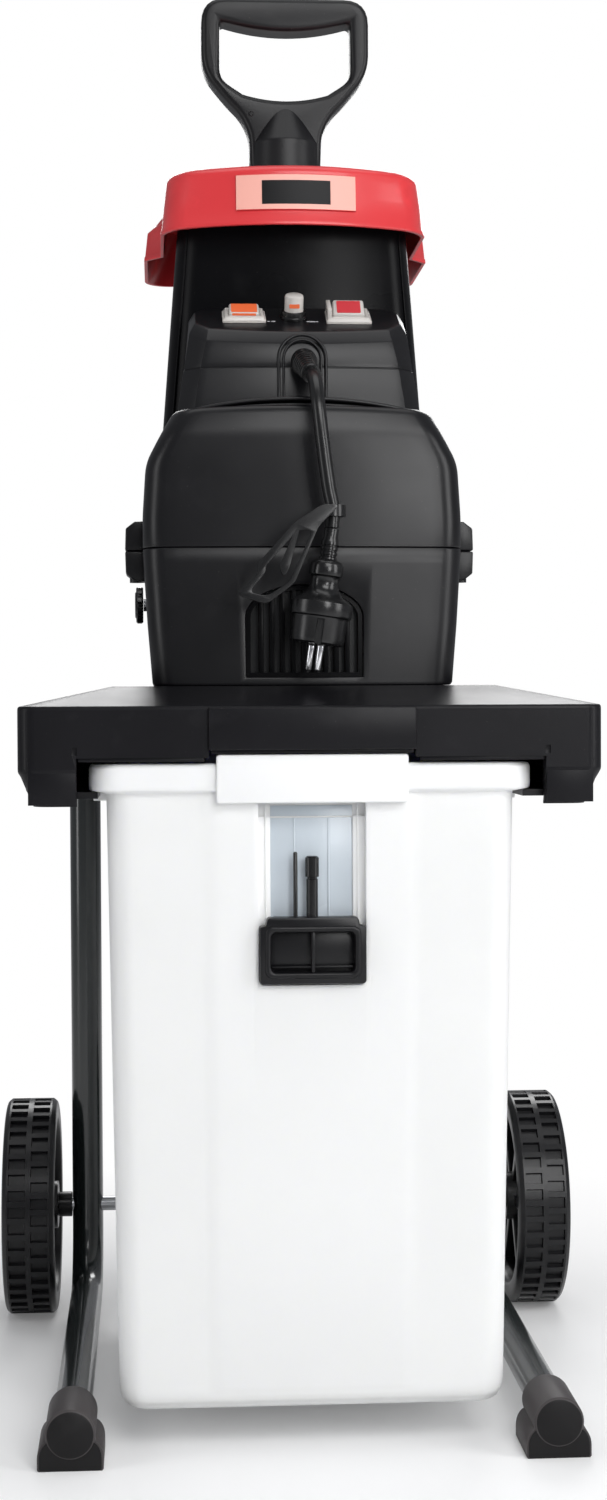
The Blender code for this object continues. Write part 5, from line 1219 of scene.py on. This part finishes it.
def handle():
    low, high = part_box("plunger_handle")
    thick = 0.0270
    rows = [(0.0275, 0.930), (0.0290, 0.973), (0.0355, 0.988), (0.048, 1.0004), (0.0625, 1.018),
            (0.067, 1.031), (0.067, high.z), (0.0, high.z)]
    outline = soften(rows, [0.0, 0.006, 0.010, 0.008, 0.007, 0.008, 0.020, 0.0], 6)
    outline = [point for point in outline if point[0] > 1e-6] + [(0.0, high.z)]
    grip = loft("handle", prism_loops(mirrored(outline), THROAT_Y - thick / 2, THROAT_Y + thick / 2),
                "handle_plastic", "plunger", ["plunger_handle"])
    window_low, window_high, window_half, belly = 1.0003, 1.0635, 0.0525, 0.008
    hole = [(0.034 * i / 8, window_low + 0.0050 * (i / 8) ** 2) for i in range(9)]
    hole += [(0.0490, 1.0150), (window_half, 1.0220), (window_half, window_high)]
    hole = soften(hole, [0.0] * 9 + [0.006, 0.005, 0.0], 4)
    for i in range(1, 9):
        share = 1 - i / 8
        hole.append((window_half * share, window_high - belly * (1 - share ** 2)))
    inside = mirrored(hole)
    carve(grip, "DIFFERENCE", [tool("window", prism_loops(inside, THROAT_Y - 0.03, THROAT_Y + 0.03))])
    soft_edges(grip, 0.0050, 5, 40.0)
    base = low.z
    half_x, half_y = 0.066, 0.056
    steps = [(half_x - 0.0006, half_y - 0.0006, base), (half_x, half_y, base + 0.0010),
             (half_x, half_y, base + 0.0046), (half_x - 0.0014, half_y - 0.0014, base + 0.0060),
             (0.036, 0.034, base + 0.0062)]
    loops = [[Vector((u, THROAT_Y + v, z)) for u, v in rounded_rect(a, b, 0.008, arc=6)] for a, b, z in steps]
    loft("plunger_foot", loops, "handle_plastic", "plunger", sharp=30.0)
    neck = [(0.0325, base + 0.0055), (0.0305, base + 0.0085), (0.0292, base + 0.0150), (0.0284, 0.9655),
            (0.0282, 0.9665), (0.0276, 0.9676), (0.0268, 0.9690)]
    neck += [(0.0268 + (0.0128 - 0.0268) * i / 8, 0.9690 + 0.0255 * i / 8) for i in range(1, 9)]
    neck += [(0.0090, 0.9972), (0.0030, 0.9988), (0.0006, 0.9990)]
    hole = ((0.0022, 0.0001), (0.0022, -0.0002), (0.0017, -0.0004), (0.0013, 0.0), (0.0001, 0.0002))
    front = THROAT_Y - thick / 2
    loft("handle_hole", turned_loops([(r, front + a) for r, a in hole], "Y", (-0.0275, 0.9890), 24),
         "soft_black", "plunger")
    loft("handle_neck", turned_loops(neck, "Z", (0.0, THROAT_Y), 56), "handle_plastic", "plunger", sharp=25.0)


KNOB_FLUTES = 12


def knob():
    """A fluted disc with a raised middle."""
    centre, size = middle_of("adjusting_knob")
    out, inside = centre.x - size.x, centre.x + size.x
    loops = []
    rows = ((0.02, out + 0.0006), (0.40, out + 0.0006), (0.46, out), (0.66, out), (0.72, out + 0.0008),
            (0.93, out + 0.0009), (0.999, out + 0.0020), (0.999, inside - 0.0012), (0.93, inside),
            (0.02, inside))
    for reach, along in rows:
        loop = []
        for i in range(8 * KNOB_FLUTES):
            angle = 2 * pi * i / (8 * KNOB_FLUTES)
            flute = 1.0 - 0.06 * max(0.0, cos(KNOB_FLUTES * angle)) if reach > 0.9 else 1.0
            radius = size.z * reach * flute
            loop.append(Vector((along, centre.y + radius * cos(angle), centre.z + radius * sin(angle))))
        loops.append(loop)
    loft("knob", loops, "soft_black", "adjuster", ["adjusting_knob"])


# Cord, hook and plug

CORD_RADIUS = 0.005
CORD_EXIT = Vector((0.0059, -0.1580, 0.7530))
CORD_ROUTE = ((0.0059, -0.1580, 0.7530), (0.0074, -0.1686, 0.7475), (0.0082, -0.1768, 0.7390),
              (0.0089, -0.1823, 0.7280), (0.0101, -0.1852, 0.7150), (0.0117, -0.1866, 0.7005),
              (0.0136, -0.1874, 0.6850), (0.0158, -0.1880, 0.6690), (0.0184, -0.1883, 0.6550),
              (0.0178, -0.1884, 0.6415),)
PLUG_TILT = radians(8.0)
PIN_TURN = radians(16.0)
PIN_RADIUS, PIN_LENGTH, PIN_HALF_PITCH = 0.0024, 0.019, 0.0095
HOOK_PLACE = Vector((0.0183, -0.1883, 0.6530))
HOOK_THICKNESS = 0.0052
HOOK_OUTLINE = ((0.0042, 0.0036), (-0.0108, -0.0115), (-0.0276, -0.0508), (-0.0472, -0.0655),
                (-0.0676, -0.0592), (-0.0528, -0.0438), (-0.0535, -0.0375), (-0.0276, -0.0087),
                (-0.0080, 0.0040))
HOOK_WINDOW = ((-0.0150, -0.0140), (-0.0312, -0.0500), (-0.0470, -0.0600), (-0.0592, -0.0572),
               (-0.0475, -0.0430), (-0.0482, -0.0395), (-0.0252, -0.0138))
HOOK_TONGUE = ((-0.0225, -0.0080), (-0.0310, -0.0400), (-0.0350, -0.0470), (-0.0385, -0.0400),
               (-0.0265, -0.0120))


def smooth_route(points, steps):
    """Points on one smooth curve through the route."""
    route = [Vector(point) for point in points]
    ends = [2 * route[0] - route[1]] + route + [2 * route[-1] - route[-2]]
    found = []
    for i in range(len(route) - 1):
        before, start, end, after = ends[i:i + 4]
        for j in range(steps):
            t = j / steps
            square = 2 * before - 5 * start + 4 * end - after
            cube = 3 * start - before - 3 * end + after
            found.append(0.5 * (2 * start + (end - before) * t + square * t ** 2 + cube * t ** 3))
    return found + [route[-1]]


def turned_along(name, profile, matrix, look, steps=40, replaced=()):
    """A turned piece of the cord, round the z axis of a matrix."""
    loops = [[matrix @ Vector((u, v, along)) for u, v in circle(radius, steps=steps)]
             for radius, along in profile]
    return loft(name, loops, look, "machine", replaced)


def cord_boot():
    direction = (CORD_EXIT - GLAND).normalized()
    length = (CORD_EXIT - GLAND).length
    matrix = Matrix.Translation(GLAND) @ direction.to_track_quat("Z", "Y").to_matrix().to_4x4()
    profile = [(0.0060, -0.0060), (0.0060, 0.0035), (0.0094, 0.0035), (0.0096, 0.0045), (0.0095, 0.0085)]
    along = 0.0085
    for i in range(7):
        reach = 0.0094 - 0.0024 * (i + 0.5) / 7
        profile += [(reach, along), (reach - 0.0001, along + 0.0021), (reach - 0.0011, along + 0.0024),
                    (reach - 0.0012, along + 0.0030)]
        along += 0.0032
    profile += [(0.0071, length - 0.0010), (0.0068, length - 0.0003), (0.0040, length - 0.0003)]
    profile = [row for row in profile if row[1] <= length]
    return turned_along("boot_ribs", profile, matrix, "soft_black", replaced=["cord_boot"])


def plug():
    matrix = Matrix.Translation(Vector(CORD_ROUTE[-1])) @ Matrix.Rotation(PLUG_TILT, 4, "Y")
    gap = 0.00035
    neck = [(0.0048, -2 * gap), (0.0052, -0.0012), (0.0052, -0.0075), (0.0060, -0.0095)]
    for i in range(3):
        z = -0.0105 - 0.0035 * i
        neck += [(0.0062, z), (0.0062, z - 0.0018), (0.0054, z - 0.0022), (0.0054, z - 0.0030)]
    neck += [(0.0062, -0.0212), (0.0064, -0.0225), (0.0103, -0.0242), (0.0118, -0.0265), (0.0118, -0.0335),
             (0.0116, -0.0340)]
    pieces = [turned_along("plug_neck", neck, matrix, "soft_black", replaced=["plug_boot"])]
    top = -0.0343
    body = [(0.0104, top), (0.0108, top - 0.0008), (0.0102, top - 0.0016), (0.0100, top - 0.0060),
            (0.0112, top - 0.0100), (0.0142, top - 0.0138), (0.0185, top - 0.0165), (0.0206, top - 0.0178),
            (0.0218, top - 0.0188), (0.0220, top - 0.0200), (0.0220, top - 0.0270), (0.0216, top - 0.0282),
            (0.0200, top - 0.0292), (0.0196, top - 0.0305), (0.0192, top - 0.0440), (0.0186, top - 0.0468),
            (0.0172, top - 0.0480)]
    disc = turned_along("plug_shell", body, matrix, "soft_black", steps=72, replaced=["plug_body"])
    cuts = []
    for angle in (-pi / 2 - 0.02, pi / 2):
        loops = [[matrix @ Vector((u * cos(angle) - v * sin(angle), u * sin(angle) + v * cos(angle), z))
                  for u, v in ((0.0166, -0.0026), (0.024, -0.0026), (0.024, 0.0026), (0.0166, 0.0026))]
                 for z in (top - 0.0305, top - 0.0485)]
        cuts.append(tool("plug_groove", loops))
    carve(disc, "DIFFERENCE", cuts)
    pieces.append(disc)
    face = top - 0.048
    for side, sign in SIDES:
        radius, long = PIN_RADIUS, PIN_LENGTH
        profile = [(radius, face - gap), (radius, face - long + 0.0012), (radius * 0.8, face - long + 0.0004),
                   (radius * 0.4, face - long)]
        pin = matrix @ Matrix.Rotation(PIN_TURN, 4, "Z") @ Matrix.Translation((0.0, sign * PIN_HALF_PITCH,
                                                                               0.0))
        pieces.append(turned_along("pin_" + side, profile, pin, "chrome", 28, ["plug_pin_" + side]))
        sheath = [(radius + 0.0009, face + 0.0004), (radius + 0.0009, face - 0.0012),
                  (radius + 0.0001, face - 0.0014)]
        pieces.append(turned_along("pin_base_" + side, sheath, pin, "soft_black", 28))
    return pieces


def cord_hook():
    centre = HOOK_PLACE
    bore, outer = CORD_RADIUS + 0.0009, CORD_RADIUS + 0.0041
    back = centre.y - CORD_RADIUS - 0.0015
    front = back - HOOK_THICKNESS
    low, high = centre.z - 0.004, centre.z + 0.004
    profile = ((bore, low), (outer, low), (outer, high), (bore, high))
    eye = loft("hook", turned_loops(profile, "Z", (centre.x, centre.y), 40), "soft_black", "machine",
               ["cord_hook"], ring=True)

    def plate(name, outline, near, far):
        rows = soften([(centre.x + across, centre.z + up) for across, up in outline], 0.004, 4, closed=True)
        return tool(name, prism_loops(rows, near, far))

    frame_plate = plate("hook_plate", HOOK_OUTLINE, front, back)
    carve(frame_plate, "DIFFERENCE", [plate("hook_gap", HOOK_WINDOW, front - 0.01, back + 0.01)])
    tongue = plate("hook_lip", HOOK_TONGUE, front + 0.0005, back - 0.0005)
    carve(frame_plate, "UNION", [tongue])
    soft_edges(frame_plate, 0.0011, 3, 40.0)
    carve(eye, "UNION", [frame_plate])
    passage = [[Vector((u, v, z)) for u, v in circle(bore, (centre.x, centre.y), 40)]
               for z in (centre.z - 0.01, centre.z + 0.01)]
    carve(eye, "DIFFERENCE", [tool("passage", passage)])
    eye.data.materials.clear()
    eye.data.materials.append(LOOKS["soft_black"])
    return eye


def cord():
    path = smooth_route(CORD_ROUTE, 8)
    wire = tube("mains_cord", path, CORD_RADIUS, "cord_black", "machine", ["cord"], resolution=9)
    boot = cord_boot()
    pieces = plug()
    hook = cord_hook()
    return boot


# Floor and finish

def floor():
    """A plain pale floor that takes the shadow near the machine and is white further out."""
    bm = bmesh.new()
    bmesh.ops.create_circle(bm, cap_ends=True, segments=64, radius=6.0)
    mesh = bpy.data.meshes.new("floor")
    bm.to_mesh(mesh)
    bm.free()
    ground = new_object("floor", mesh)
    material, nodes, links, shader = new_material("floor")
    shader.inputs["Base Color"].default_value = (0.86, 0.86, 0.86, 1.0)
    shader.inputs["Roughness"].default_value = 0.8
    shader.inputs["Emission Color"].default_value = (0.12, 0.12, 0.12, 1.0)
    camera_ray = nodes.new("ShaderNodeLightPath").outputs["Is Camera Ray"]
    links.new(camera_ray, shader.inputs["Emission Strength"])
    place_node = nodes.new("ShaderNodeTexCoord")
    away = nodes.new("ShaderNodeVectorMath")
    away.operation = "LENGTH"
    links.new(place_node.outputs["Object"], away.inputs[0])
    share = ramp(nodes, links, away.outputs["Value"], 0.34, 0.74, 0.0, 1.0)
    white = nodes.new("ShaderNodeEmission")
    white.inputs["Strength"].default_value = 1.0
    seen = calculate(nodes, links, "MULTIPLY", share, camera_ray)
    mix_into(nodes, links, seen, shader, white, nodes["Material Output"])
    mesh.materials.append(material)


finish_cad_nodes()
for side, sign in SIDES:
    frame_tube(side)
    foot_cap(side)
    wheel(side, sign)
for build in (axle_pieces, deck, collection_box, latch, motor_cover_lower, motor_cover_upper, vent_grille,
              control_housing, switches, hopper, hopper_cap, cap_label, handle, knob, cord, make_camera,
              make_light, floor):
    build()
